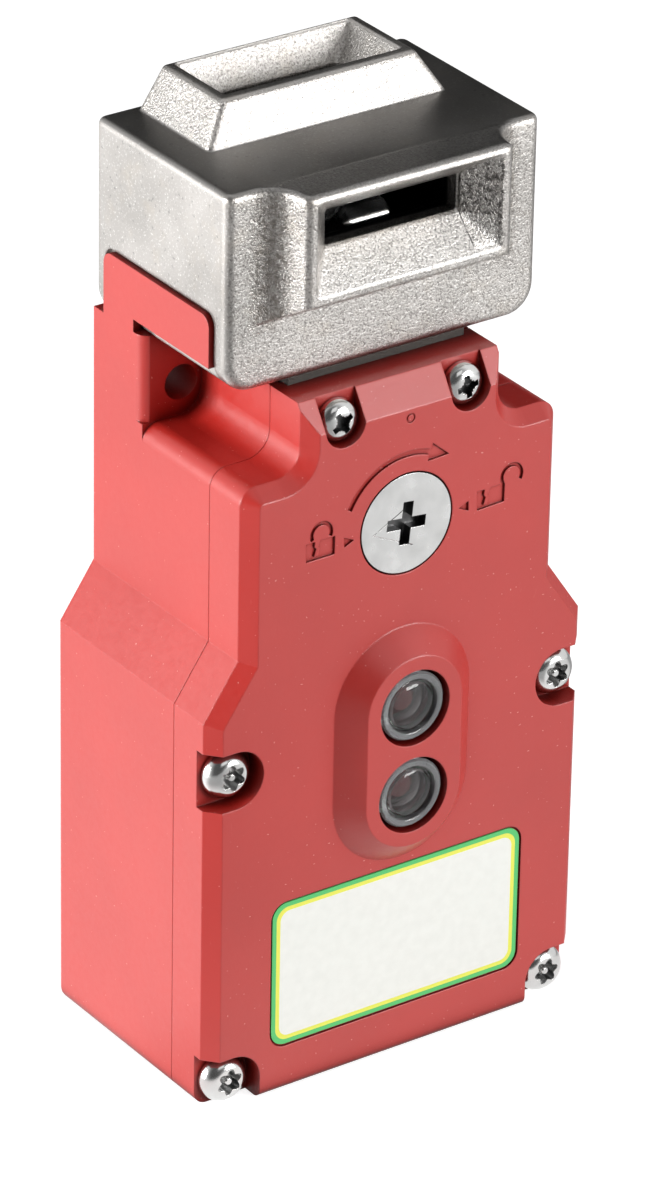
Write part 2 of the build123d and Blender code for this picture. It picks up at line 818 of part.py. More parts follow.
# Head casting with a tongue slot in its front and one in its top
with BuildPart() as head_casting:
    with BuildSketch(level(head_bottom)):
        with Locations((0, head_front_y + head_depth / 2)):
            Rectangle(head_width, head_depth)
    extrude(amount=head_top - head_bottom)
    lower_side_edges = head_casting.edges().filter_by(Axis.Y).group_by(Axis.Z)[0]
    fillet(lower_side_edges, radius=head_bottom_corner)
    fillet(head_casting.edges().filter_by(Axis.Z), radius=head_edge)

    # Snout: tapering sides that run into the front in a hollow curve, and a sloped underside
    with BuildSketch(level(snout_root - snout_reach)):
        with BuildLine():
            rounded_line(
                [
                    (snout_width / 2, snout_y, snout_corner),
                    (snout_width / 2 + snout_flare, head_front_y, snout_fillet),
                    (head_width / 2 - head_edge, head_front_y, 0),
                    (head_width / 2 - head_edge, head_front_y + head_edge, 0),
                    (-head_width / 2 + head_edge, head_front_y + head_edge, 0),
                    (-head_width / 2 + head_edge, head_front_y, 0),
                    (-snout_width / 2 - snout_flare, head_front_y, snout_fillet),
                    (-snout_width / 2, snout_y, snout_corner),
                ]
            )
        make_face()
    extrude(amount=head_top - snout_root + snout_reach)
    with BuildSketch(Plane.YZ):
        Polygon(
            (snout_y, snout_bottom),
            (head_front_y, snout_root),
            (head_front_y, head_bottom),
            (snout_y - 1, head_bottom),
            (snout_y - 1, snout_bottom),
            align=None,
        )
    extrude(amount=head_width / 2, both=True, mode=Mode.SUBTRACT)
    top_face = head_casting.faces().filter_by(Axis.Z).sort_by(Axis.Z)[-1]
    fillet(top_face.outer_wire().edges(), radius=head_top_edge)

    # Crown around the top slot
    with BuildSketch(level(head_top)):
        with Locations((0, front_y + (crown_base_front + crown_base_rear) / 2)):
            Rectangle(crown_base_width, crown_base_rear - crown_base_front)
    with BuildSketch(level(crown_top)):
        with Locations((0, front_y + (crown_top_front + crown_top_rear) / 2)):
            Rectangle(crown_top_width, crown_top_rear - crown_top_front)
    loft(ruled=True)
    crown_edges = head_casting.edges().filter_by_position(Axis.Z, head_top + crown_edge, crown_top)
    fillet(crown_edges, radius=crown_edge)

    # Hollow with two bearing cheeks, open below through the floor
    with BuildSketch(level(head_floor_top)):
        with Locations((0, (head_inner_front_y + head_inner_rear_y) / 2)):
            Rectangle(head_width - 2 * head_side_wall, head_inner_rear_y - head_inner_front_y)
    extrude(amount=head_inner_top - head_floor_top, mode=Mode.SUBTRACT)
    with BuildSketch(level(head_bottom)):
        with Locations((0, (head_inner_front_y + head_inner_rear_y) / 2)):
            Rectangle(head_floor_opening, head_inner_rear_y - head_inner_front_y)
    extrude(amount=head_floor, mode=Mode.SUBTRACT)
    for side in (-1, 1):
        with BuildSketch(level(head_bottom)):
            with Locations((side * (cheek_half_gap + cheek_thickness / 2), head_front_y + head_depth / 2)):
                Rectangle(cheek_thickness, head_depth - 2 * edge_radius)
        extrude(amount=head_inner_top - head_bottom)
    with BuildSketch(level(head_bottom)):
        for side in (-1, 1):
            with Locations((side * post_x, head_inner_front_y + post_radius - running_gap)):
                Circle(post_radius)
            with Locations((side * post_x, plate_rear_y - post_radius)):
                Circle(post_radius)
    extrude(amount=post_height)
    with BuildSketch(Plane.YZ.offset(cheek_outer)):
        with Locations((cam_y, cam_z)):
            Circle(shaft_radius + fit_gap)
        with Locations((cam_y, (head_bottom + cam_z) / 2)):
            Rectangle(2 * (shaft_radius + fit_gap), cam_z - head_bottom)
    extrude(amount=-2 * cheek_outer, mode=Mode.SUBTRACT)

    # Step over the housing deck, and the recesses for the ears
    with BuildSketch(Plane.YZ):
        with Locations((pocket_y - head_step_gap / 2, head_bottom)):
            Rectangle(
                head_depth,
                deck_height + head_step_gap - head_bottom,
                align=(Align.MIN, Align.MIN),
            )
    extrude(amount=head_width / 2, both=True, mode=Mode.SUBTRACT)
    for side in (-1, 1):
        with BuildSketch(Plane.YZ.offset(side * head_width / 2)):
            with BuildLine():
                rounded_line(
                    [
                        (ear_front_y - ear_gap, head_bottom - 1, 0),
                        (ear_front_y - ear_gap, ear_top + ear_gap, ear_corner),
                        (ear_rear_y + ear_gap, ear_top + ear_gap, ear_corner),
                        (ear_rear_y + ear_gap, head_bottom - 1, 0),
                    ]
                )
            make_face()
        ear_recess = (head_width - upper_width) / 2 + ear_thickness + ear_side_gap
        extrude(amount=-side * ear_recess, mode=Mode.SUBTRACT)

    # Front funnel, slot and its tunnel
    funnel_top = slot_z + slot_height / 2 + funnel_high
    funnel_bottom = slot_z - slot_height / 2 - funnel_low
    with BuildSketch(upright(snout_y)):
        with Locations((0, (funnel_top + funnel_bottom) / 2)):
            RectangleRounded(funnel_width, funnel_top - funnel_bottom, funnel_corner)
    with BuildSketch(upright(slot_y)):
        with Locations((0, slot_z)):
            RectangleRounded(slot_width, slot_height, slot_corner)
    loft(ruled=True, mode=Mode.SUBTRACT)
    with BuildSketch(upright(slot_y)):
        with Locations((0, slot_z)):
            RectangleRounded(slot_width, slot_height, slot_corner)
    extrude(amount=-(head_inner_front_y - slot_y), mode=Mode.SUBTRACT)

    # Top funnel, slot and its tunnel
    crown_funnel_y = crown_slot_y + (crown_funnel_rear - crown_funnel_front) / 2
    crown_funnel_length = slot_height + crown_funnel_front + crown_funnel_rear
    with BuildSketch(level(crown_top)):
        with Locations((0, crown_funnel_y)):
            RectangleRounded(crown_funnel_width, crown_funnel_length, crown_funnel_corner)
    with BuildSketch(level(crown_slot_z)):
        with Locations((0, crown_slot_y)):
            RectangleRounded(slot_width, slot_height, slot_corner)
    loft(ruled=True, mode=Mode.SUBTRACT)
    with BuildSketch(level(crown_slot_z)):
        with Locations((0, crown_slot_y)):
            RectangleRounded(slot_width, slot_height, slot_corner)
    extrude(amount=head_inner_top - crown_slot_z, mode=Mode.SUBTRACT)

    # Tapped holes for the base plate
    with BuildSketch(level(head_bottom)):
        with Locations(*plate_screw_spots):
            Circle(small_screw_radius + fit_gap)
    extrude(amount=small_screw_length - plate_thickness + 0.5, mode=Mode.SUBTRACT)
head_casting.part.label = "head_casting"
export_step(head_casting.part, "parts/head_casting.step")

# Base plate that closes the head, with a tab for the two head screws
with BuildPart() as head_base_plate:
    with BuildSketch(level(plate_bottom)):
        with Locations((0, (head_front_y + plate_front_reach + plate_rear_y) / 2)):
            Rectangle(plate_width, plate_rear_y - head_front_y - plate_front_reach)
        with Locations((0, (cam_y - plate_window / 4 + plate_rear_y) / 2)):
            Rectangle(plate_window, plate_rear_y - cam_y + plate_window / 4, mode=Mode.SUBTRACT)
    extrude(amount=plate_thickness)
    with BuildSketch(upright(seam_y)):
        with Locations((0, (tab_bottom + plate_bottom) / 2)):
            Rectangle(plate_width, plate_bottom - tab_bottom)
        with Locations(*head_screw_spots):
            Circle(screw_radius + fit_gap, mode=Mode.SUBTRACT)
    extrude(amount=-plate_thickness)
    with BuildSketch(level(plate_bottom)):
        with Locations(*plate_screw_spots):
            Circle(small_screw_radius + screw_clearance)
    extrude(amount=plate_thickness, mode=Mode.SUBTRACT)
    with BuildSketch(level(plate_bottom)):
        with Locations(*plate_screw_spots):
            Circle(small_screw_head + running_gap)
    extrude(amount=flush_head_height + running_gap, mode=Mode.SUBTRACT)
head_base_plate.part.label = "head_base_plate"
export_step(head_base_plate.part, "parts/head_base_plate.step")

# Screws of the base plate, flush with its underside
with BuildPart() as head_base_screws:
    with BuildSketch(level(plate_bottom + running_gap / 2)):
        with Locations(*plate_screw_spots):
            Circle(small_screw_head)
    extrude(amount=flush_head_height)
    with BuildSketch(level(plate_bottom + running_gap)):
        with Locations(*plate_screw_spots):
            Circle(small_screw_radius)
    extrude(amount=small_screw_length)
head_base_screws.part.label = "head_base_screws"
export_step(head_base_screws.part, "parts/head_base_screws.step")

# Screws seen from the front
cover_screws = pan_screw(
    notch_floor_y,
    cover_screw_spots,
    cover_screw_head,
    cover_screw_head_height,
)
cover_screws.part.label = "cover_screws"
export_step(cover_screws.part, "parts/cover_screws.step")

head_screws = pan_screw(
    head_notch_floor_y,
    head_screw_spots,
    head_screw_head,
    head_screw_head_height,
)
head_screws.part.label = "head_screws"
export_step(head_screws.part, "parts/head_screws.step")

# Cam with its long sleeve, turning on a fixed shaft
with BuildPart() as cam_wheel:
    with BuildSketch(Plane.YZ.offset(-cam_width / 2)):
        with BuildLine():
            rounded_line(cam_outline())
        make_face()
    extrude(amount=cam_width)
    side_faces = cam_wheel.faces().filter_by(Axis.X)
    chamfer(side_faces.edges(), length=cam_edge)
    sleeve_length = 2 * (cheek_half_gap - cam_side_gap)
    with BuildSketch(Plane.YZ.offset(-sleeve_length / 2)):
        with Locations((cam_y, cam_z)):
            Circle(cam_sleeve_radius)
    extrude(amount=sleeve_length)
    with BuildSketch(Plane.YZ.offset(-sleeve_length / 2)):
        with Locations((cam_y, cam_z)):
            Circle(shaft_radius + running_gap)
    extrude(amount=sleeve_length, mode=Mode.SUBTRACT)
cam_wheel.part.label = "cam_wheel"
export_step(cam_wheel.part, "parts/cam_wheel.step")

with BuildPart() as cam_shaft:
    with BuildSketch(Plane.YZ.offset(-cheek_outer)):
        with Locations((cam_y, cam_z)):
            Circle(shaft_radius)
    extrude(amount=2 * cheek_outer)
cam_shaft.part.label = "cam_shaft"
export_step(cam_shaft.part, "parts/cam_shaft.step")

# Blocks that hold the shaft up in its open bearings
with BuildPart() as shaft_keepers:
    keeper_height = cam_z - shaft_radius - keeper_gap - head_bottom
    with BuildSketch(level(head_bottom)):
        for side in (-1, 1):
            with Locations((side * (cheek_half_gap + cheek_thickness / 2), cam_y)):
                Rectangle(cheek_thickness - 2 * cam_side_gap, 2 * shaft_radius - 2 * keeper_gap)
    extrude(amount=keeper_height)
shaft_keepers.part.label = "shaft_keepers"
export_step(shaft_keepers.part, "parts/shaft_keepers.step")

# Plunger that follows the cam, with its spring and guide bush
with BuildPart() as actuating_plunger:
    with BuildSketch(level(slide_top - plunger_seat_depth)):
        with Locations((0, cam_y)):
            Circle(plunger_radius)
    extrude(amount=plunger_tip_z - slide_top + plunger_seat_depth)
    tip_edge = actuating_plunger.edges().sort_by(Axis.Z)[-1]
    fillet(tip_edge, radius=plunger_tip_round)
    with BuildSketch(level(plunger_collar_z)):
        with Locations((0, cam_y)):
            Circle(plunger_collar_radius)
    extrude(amount=plunger_collar_height)
actuating_plunger.part.label = "actuating_plunger"
export_step(actuating_plunger.part, "parts/actuating_plunger.step")

with BuildPart() as plunger_bush:
    with BuildSketch(level(bush_bottom)):
        with Locations((0, cam_y)):
            Circle(chamber_radius - fit_gap)
            Circle(plunger_radius + running_gap, mode=Mode.SUBTRACT)
    extrude(amount=bush_height)
plunger_bush.part.label = "plunger_bush"
export_step(plunger_bush.part, "parts/plunger_bush.step")

plunger_spring = coil_spring(
    chamber_floor,
    plunger_collar_z,
    plunger_spring_radius,
    plunger_spring_wire,
    plunger_spring_turns,
)
plunger_spring.part.label = "plunger_spring"
export_step(plunger_spring.part, "parts/plunger_spring.step")

# Contact slide carried by the plunger
with BuildPart() as contact_slide:
    with BuildSketch(level(slide_bottom)):
        with Locations((0, cam_y)):
            RectangleRounded(slide_width, slide_depth, edge_radius)
    extrude(amount=slide_height)
    with BuildSketch(level(slide_bottom)):
        with Locations((-pusher_x, cam_y), (pusher_x, cam_y)):
            Rectangle(pusher_width, pusher_width)
    extrude(amount=-pusher_length)
    with BuildSketch(level(slide_top)):
        with Locations((0, cam_y)):
            Circle(plunger_radius)
    extrude(amount=-plunger_seat_depth, mode=Mode.SUBTRACT)
contact_slide.part.label = "contact_slide"
export_step(contact_slide.part, "parts/contact_slide.step")

# Contact blocks with wells for the slide's pushers and stepped screw terminals
with BuildPart() as contact_blocks:
    for side in (-1, 1):
        with BuildSketch(level(block_bottom)):
            with Locations((side * pusher_x, block_middle_y)):
                Rectangle(block_outer - block_inner, inner_rear_y - block_front)
        extrude(amount=block_height)
        with BuildSketch(upright(block_front)):
            with Locations((side * pusher_x, block_bottom)):
                Rectangle(block_outer - block_inner, block_step_height, align=(Align.CENTER, Align.MIN))
        extrude(amount=-block_step, mode=Mode.SUBTRACT)
        with BuildSketch(level(block_top)):
            with Locations((side * pusher_x, cam_y)):
                Rectangle(pusher_width + 2 * pusher_gap, pusher_width + 2 * pusher_gap)
        extrude(amount=-(slide_bottom_drop + pusher_gap), mode=Mode.SUBTRACT)
    with BuildSketch(upright(block_front + block_step)):
        with Locations(*block_screw_spots):
            Circle(small_screw_radius + fit_gap)
    extrude(amount=-small_screw_length, mode=Mode.SUBTRACT)
contact_blocks.part.label = "contact_blocks"
export_step(contact_blocks.part, "parts/contact_blocks.step")

block_screws = cheese_screw(block_front + block_step, block_screw_spots)
block_screws.part.label = "block_screws"
export_step(block_screws.part, "parts/block_screws.step")

# Lock slide: a window around the release peg, a foot and a post under the contact slide
with BuildPart() as lock_slide:
    with BuildSketch(upright(lock_front_y)):
        with Locations((0, (lock_bottom + lock_top) / 2)):
            RectangleRounded(lock_width, lock_top - lock_bottom, edge_radius)
        with Locations((0, (window_bottom + window_top) / 2)):
            Rectangle(window_width, window_top - window_bottom, mode=Mode.SUBTRACT)
    extrude(amount=-lock_thickness)
    with BuildSketch(level(lock_bottom)):
        with Locations((0, (lock_front_y + cam_y + stem_radius) / 2)):
            Rectangle(lock_width, cam_y + stem_radius - lock_front_y)
    extrude(amount=lock_thickness)
    with BuildSketch(level(lock_bottom)):
        with Locations((0, cam_y)):
            Circle(stem_radius)
    extrude(amount=lock_head_z - lock_bottom)
    with BuildSketch(level(lock_bottom)):
        with Locations((0, cam_y)):
            Circle(stem_spigot_radius)
    extrude(amount=2 * lock_thickness, mode=Mode.SUBTRACT)
lock_slide.part.label = "lock_slide"
export_step(lock_slide.part, "parts/lock_slide.step")

# Armature with its spring
with BuildPart() as armature:
    with BuildSketch(level(armature_bottom)):
        with Locations((0, cam_y)):
            Circle(armature_radius)
    extrude(amount=armature_top - armature_bottom)
    with BuildSketch(level(armature_top)):
        with Locations((0, cam_y)):
            Circle(stem_radius)
    extrude(amount=lock_bottom - armature_top)
    with BuildSketch(level(lock_bottom)):
        with Locations((0, cam_y)):
            Circle(stem_spigot_radius)
    extrude(amount=2 * lock_thickness)
    with BuildSketch(level(armature_bottom)):
        with Locations((0, cam_y)):
            Circle(armature_bore_radius)
    extrude(amount=armature_bore_depth, mode=Mode.SUBTRACT)
armature.part.label = "armature"
export_step(armature.part, "parts/armature.step")

lock_spring = coil_spring(
    pole_top - pole_recess_depth,
    armature_bottom + armature_bore_depth,
    lock_spring_radius,
    lock_spring_wire,
    lock_spring_turns,
)
lock_spring.part.label = "lock_spring"
export_step(lock_spring.part, "parts/lock_spring.step")

# Solenoid: closed frame with two screwed lugs, pole, bobbin and coil
with BuildPart() as solenoid_yoke:
    with BuildSketch(upright(yoke_front_y)):
        with Locations((0, (yoke_bottom + yoke_top) / 2)):
            RectangleRounded(2 * yoke_half_width, yoke_top - yoke_bottom, edge_radius)
            Rectangle(
                2 * (yoke_half_width - yoke_thickness),
                yoke_top - yoke_bottom - 2 * yoke_thickness,
                mode=Mode.SUBTRACT,
            )
    extrude(amount=-2 * yoke_half_depth)
    with BuildSketch(upright(yoke_back_y)):
        for x, z in yoke_screw_spots:
            side = math.copysign(1, x)
            with Locations((side * (yoke_half_width - yoke_thickness + yoke_lug_half_width) / 2, z)):
                Rectangle(yoke_lug_half_width - yoke_half_width + yoke_thickness, 2 * lug_half_height)
        with Locations(*yoke_screw_spots):
            Circle(small_screw_radius + screw_clearance, mode=Mode.SUBTRACT)
    extrude(amount=-yoke_thickness)
    with BuildSketch(level(yoke_top)):
        with Locations((0, cam_y)):
            Circle(armature_radius + window_gap)
    extrude(amount=-yoke_thickness, mode=Mode.SUBTRACT)
    with BuildSketch(level(yoke_bottom)):
        with Locations((0, cam_y)):
            Circle(armature_radius)
    extrude(amount=pole_top - yoke_bottom)
    with BuildSketch(level(pole_top)):
        with Locations((0, cam_y)):
            Circle(armature_bore_radius)
    extrude(amount=-pole_recess_depth, mode=Mode.SUBTRACT)
solenoid_yoke.part.label = "solenoid_yoke"
export_step(solenoid_yoke.part, "parts/solenoid_yoke.step")

with BuildPart() as solenoid_bobbin:
    with BuildSketch(level(coil_bottom)):
        with Locations((0, cam_y)):
            Circle(bobbin_bore_radius + bobbin_wall)
    extrude(amount=coil_top - coil_bottom)
    for z in (coil_bottom, coil_top - bobbin_flange):
        with BuildSketch(level(z)):
            with Locations((0, cam_y)):
                RectangleRounded(2 * bobbin_flange_half, 2 * bobbin_flange_half, edge_radius)
        extrude(amount=bobbin_flange)
    with BuildSketch(level(coil_bottom)):
        with Locations((0, cam_y)):
            Circle(bobbin_bore_radius)
    extrude(amount=coil_top - coil_bottom, mode=Mode.SUBTRACT)
solenoid_bobbin.part.label = "solenoid_bobbin"
export_step(solenoid_bobbin.part, "parts/solenoid_bobbin.step")

with BuildPart() as solenoid_coil:
    with BuildSketch(level(coil_bottom + bobbin_flange)):
        with Locations((0, cam_y)):
            Circle(coil_radius)
            Circle(bobbin_bore_radius + bobbin_wall, mode=Mode.SUBTRACT)
    extrude(amount=coil_top - coil_bottom - 2 * bobbin_flange)
solenoid_coil.part.label = "solenoid_coil"
export_step(solenoid_coil.part, "parts/solenoid_coil.step")

yoke_screws = cheese_screw(yoke_back_y, yoke_screw_spots)
yoke_screws.part.label = "yoke_screws"
export_step(yoke_screws.part, "parts/yoke_screws.step")

# Supply terminals above the conduit entry
with BuildPart() as terminal_block:
    with BuildSketch(Plane.YZ.offset(-terminal_width / 2)):
        Polygon(
            (terminal_front, terminal_bottom),
            (terminal_rear_y, terminal_bottom),
            (terminal_rear_y, terminal_bottom + terminal_height),
            (terminal_front + terminal_step, terminal_bottom + terminal_height),
            (terminal_front + terminal_step, terminal_bottom + terminal_height / 2 - terminal_step / 2),
            (terminal_front, terminal_bottom + terminal_height / 2 - terminal_step / 2),
            align=None,
        )
    extrude(amount=terminal_width)
    with BuildSketch(upright(terminal_front + terminal_step)):
        with Locations(*terminal_spots):
            Circle(small_screw_radius + fit_gap)
    extrude(amount=-small_screw_length, mode=Mode.SUBTRACT)
terminal_block.part.label = "terminal_block"
export_step(terminal_block.part, "parts/terminal_block.step")

terminal_screws = cheese_screw(terminal_front + terminal_step, terminal_spots)
terminal_screws.part.label = "terminal_screws"
export_step(terminal_screws.part, "parts/terminal_screws.step")

# Indicator lenses, their board and its lamps
with BuildPart() as indicator_lenses:
    with BuildSketch(upright(inner_front_y + lens_flange_thickness)):
        with Locations(*lens_spots):
            Circle(lens_flange_radius)
    extrude(amount=lens_flange_thickness)
    with BuildSketch(upright(inner_front_y)):
        with Locations(*lens_spots):
            Circle(lens_radius)
    extrude(amount=inner_front_y - lens_face_y)
    with BuildSketch(upright(lens_face_y)):
        with Locations(*lens_spots):
            Circle(lens_dome_radius)
    extrude(amount=lens_dome_rise)
    dome_edges = indicator_lenses.edges().filter_by(GeomType.CIRCLE).group_by(Axis.Y)[0]
    chamfer(dome_edges, length=lens_dome_rise / 2)
    with BuildSketch(upright(inner_front_y + lens_flange_thickness)):
        with Locations(*lens_spots):
            Circle(lens_cavity_radius)
    extrude(
        amount=inner_front_y + lens_flange_thickness - lens_face_y - lens_wall,
        mode=Mode.SUBTRACT,
    )
indicator_lenses.part.label = "indicator_lenses"
export_step(indicator_lenses.part, "parts/indicator_lenses.step")

with BuildPart() as indicator_lamps:
    with BuildSketch(upright(board_front_y)):
        with Locations(*lens_spots):
            Circle(led_radius)
    extrude(amount=led_length)
    lamp_tips = indicator_lamps.edges().filter_by(GeomType.CIRCLE).group_by(Axis.Y)[0]
    chamfer(lamp_tips, length=led_taper)
indicator_lamps.part.label = "indicator_lamps"
export_step(indicator_lamps.part, "parts/indicator_lamps.step")

with BuildPart() as indicator_board:
    with BuildSketch(upright(board_front_y)):
        with Locations((0, (board_bottom + board_top) / 2)):
            RectangleRounded(board_width, board_top - board_bottom, edge_radius)
        with Locations(*board_screw_spots):
            Circle(small_screw_radius + screw_clearance, mode=Mode.SUBTRACT)
    extrude(amount=-board_thickness)
indicator_board.part.label = "indicator_board"
export_step(indicator_board.part, "parts/indicator_board.step")

with BuildPart() as board_screws:
    with BuildSketch(upright(board_rear_y)):
        with Locations(*board_screw_spots):
            Circle(small_screw_head)
    extrude(amount=-small_screw_head_height)
    with BuildSketch(upright(board_rear_y)):
        with Locations(*board_screw_spots):
            Circle(small_screw_radius)
    extrude(amount=small_screw_length)
board_screws.part.label = "board_screws"
export_step(board_screws.part, "parts/board_screws.step")

# Release: slotted disc on a stem with an off-centre peg behind
with BuildPart() as release_disc:
    with BuildSketch(upright(disc_rear_y)):
        with Locations((0, release_z)):
            Circle(release_disc_radius)
    extrude(amount=release_disc_thickness)
    with BuildSketch(upright(crank_rear_y)):
        with Locations((0, release_z)):
            Circle(release_stem_radius)
    extrude(amount=crank_rear_y - disc_rear_y)
    with BuildSketch(upright(peg_rear_y)):
        with Locations((0, release_z + release_peg_offset)):
            Circle(release_peg_radius)
    extrude(amount=peg_rear_y - crank_rear_y)
    with BuildSketch(upright(front_y)):
        with Locations((0, release_z)):
            Rectangle(release_cross_length, release_cross_width, rotation=release_cross_tilt)
            Rectangle(release_cross_width, release_cross_height, rotation=release_cross_tilt)
    extrude(amount=-release_cross_depth, mode=Mode.SUBTRACT)
    for groove_front, width in (
        (release_seal_y - release_groove_width / 2, release_groove_width),
        (clip_front_y, clip_thickness),
    ):
        with BuildSketch(upright(groove_front)):
            with Locations((0, release_z)):
                Circle(release_stem_radius + running_gap)
                Circle(release_groove_radius, mode=Mode.SUBTRACT)
        extrude(amount=-width, mode=Mode.SUBTRACT)
release_disc.part.label = "release_disc"
export_step(release_disc.part, "parts/release_disc.step")

with BuildPart() as release_clip:
    with BuildSketch(upright(clip_front_y + fit_gap)):
        with Locations((0, release_z)):
            Circle(clip_radius)
            Circle(release_groove_radius + fit_gap, mode=Mode.SUBTRACT)
        with Locations((0, release_z - clip_radius)):
            Rectangle(2 * release_groove_radius - 1, 2 * clip_radius, mode=Mode.SUBTRACT)
    extrude(amount=-(clip_thickness - 2 * fit_gap))
release_clip.part.label = "release_clip"
export_step(release_clip.part, "parts/release_clip.step")

with BuildPart() as release_seal:
    seal_width = release_stem_radius - release_groove_radius
    with BuildSketch(upright(release_seal_y - seal_width / 2)):
        with Locations((0, release_z)):
            Circle(release_stem_radius)
            Circle(release_groove_radius + fit_gap, mode=Mode.SUBTRACT)
    extrude(amount=-seal_width)
release_seal.part.label = "release_seal"
export_step(release_seal.part, "parts/release_seal.step")
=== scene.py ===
"""Looks of the solenoid interlock switch: camera, light, materials and the fine detail that
the solids leave out. Metres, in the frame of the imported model."""

import math

import bmesh
import bpy
from mathutils import Matrix, Vector
from mathutils.bvhtree import BVHTree
from mathutils.geometry import barycentric_transform


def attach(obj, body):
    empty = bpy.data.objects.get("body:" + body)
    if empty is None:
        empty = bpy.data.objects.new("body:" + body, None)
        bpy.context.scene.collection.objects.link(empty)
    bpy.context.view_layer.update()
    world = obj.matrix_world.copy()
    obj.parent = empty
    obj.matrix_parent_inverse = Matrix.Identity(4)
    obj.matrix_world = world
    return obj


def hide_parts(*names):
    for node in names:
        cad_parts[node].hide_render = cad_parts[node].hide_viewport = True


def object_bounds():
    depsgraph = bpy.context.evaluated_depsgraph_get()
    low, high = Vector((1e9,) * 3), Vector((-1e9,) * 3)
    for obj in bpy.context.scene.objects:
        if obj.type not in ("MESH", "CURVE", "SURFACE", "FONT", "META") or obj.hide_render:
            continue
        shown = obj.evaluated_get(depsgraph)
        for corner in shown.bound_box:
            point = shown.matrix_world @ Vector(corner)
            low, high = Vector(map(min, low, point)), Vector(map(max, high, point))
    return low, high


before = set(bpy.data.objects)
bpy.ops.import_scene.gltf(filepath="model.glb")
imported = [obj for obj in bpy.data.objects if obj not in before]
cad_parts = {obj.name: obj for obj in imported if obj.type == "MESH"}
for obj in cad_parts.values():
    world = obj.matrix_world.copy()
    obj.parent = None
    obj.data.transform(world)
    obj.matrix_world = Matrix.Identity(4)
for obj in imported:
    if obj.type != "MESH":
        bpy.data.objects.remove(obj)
cad_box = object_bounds()

# Places on the switch in millimetres: X to its right, +Z up, the front towards -Y
MM = 0.001
FRONT_Y = -21.2
LENS_Z = (41.1, 54.1)
LENS_FACE = FRONT_Y - 2.5
LENS_FLANGE = (FRONT_Y + 2.62, FRONT_Y + 3.78)
RELEASE_Z = 79.95
LABEL_Z = 18.1
COVER_SEAT = FRONT_Y + 3.4
HEAD_SEAT = FRONT_Y + 2.8
COVER_SPOTS = [(x, z) for x in (-26.0, 26.0) for z in (3.6, 49.7)]
HEAD_SPOTS = [(-9.82, 96.6), (9.82, 96.6)]

# Flat rim of a lens as (from, to, soft edge) of the distance from its axis
LENS_RIM = (4.0, 5.2, 0.15)
# Rounded rectangles on the label as (half width, half height, corner radius)
LABEL_LINE = (18.75, 9.55, 1.5)
LABEL_BORDER = (19.35, 10.15, 1.9)

# Zones of the die-cast head in millimetres, each as (from, to, soft edge): to both sides of
# the middle or along X, along Y, and up
HOLLOW_CORNERS = ((17.2, 19.6, 1.8), (-22.0, -15.2, 0.5), (112.0, 127.0, 4.0))
FUNNEL_CHEEK = ((10.6, 14.4, 0.3), (-20.6, -16.4, 0.3), (116.5, 127.0, 1.0))
FUNNEL_FLOOR = ((-1.0, 13.6, 0.6), (-20.7, -16.4, 0.2), (115.0, 119.6, 0.2))
INSIDE = ((-1.0, 20.4, 0.3), (-14.0, 12.6, 0.7), (103.2, 128.6, 0.8))
CROWN_LEVEL = (129.9, 134.7, 0.3)
TOP_LEVEL = (129.2, 129.7, 0.25)
FRONT_DEPTH = (-22.0, -14.9, 0.4)

# Camera, solved from the photograph: degrees, millimetres
AZIMUTH = -35.283
ELEVATION = 27.847
ROLL = 1.071
TARGET = (-1.226, -6.2, 62.427)
DISTANCE = 905.31
FOCAL_LENGTH = 206.27
SENSOR_WIDTH = 36
CLIP_RANGE = (0.05, 20)


def add_camera():
    """Camera that sees the object as the photograph does."""
    azimuth, elevation, roll = (math.radians(a) for a in (AZIMUTH, ELEVATION, ROLL))
    back = Vector((
        math.sin(azimuth) * math.cos(elevation),
        -math.cos(azimuth) * math.cos(elevation),
        math.sin(elevation),
    ))
    right = Vector((math.cos(azimuth), math.sin(azimuth), 0))
    up = back.cross(right)
    rolled_right = math.cos(roll) * right + math.sin(roll) * up
    rolled_up = -math.sin(roll) * right + math.cos(roll) * up
    place = Vector(TARGET) * MM + back * DISTANCE * MM
    camera = bpy.data.objects.new("camera", bpy.data.cameras.new("camera"))
    camera.data.lens = FOCAL_LENGTH
    camera.data.sensor_width = SENSOR_WIDTH
    camera.data.clip_start, camera.data.clip_end = CLIP_RANGE
    turn = Matrix((rolled_right, rolled_up, back)).transposed()
    camera.matrix_world = Matrix.Translation(place) @ turn.to_4x4()
    bpy.context.scene.collection.objects.link(camera)
    bpy.context.scene.camera = camera


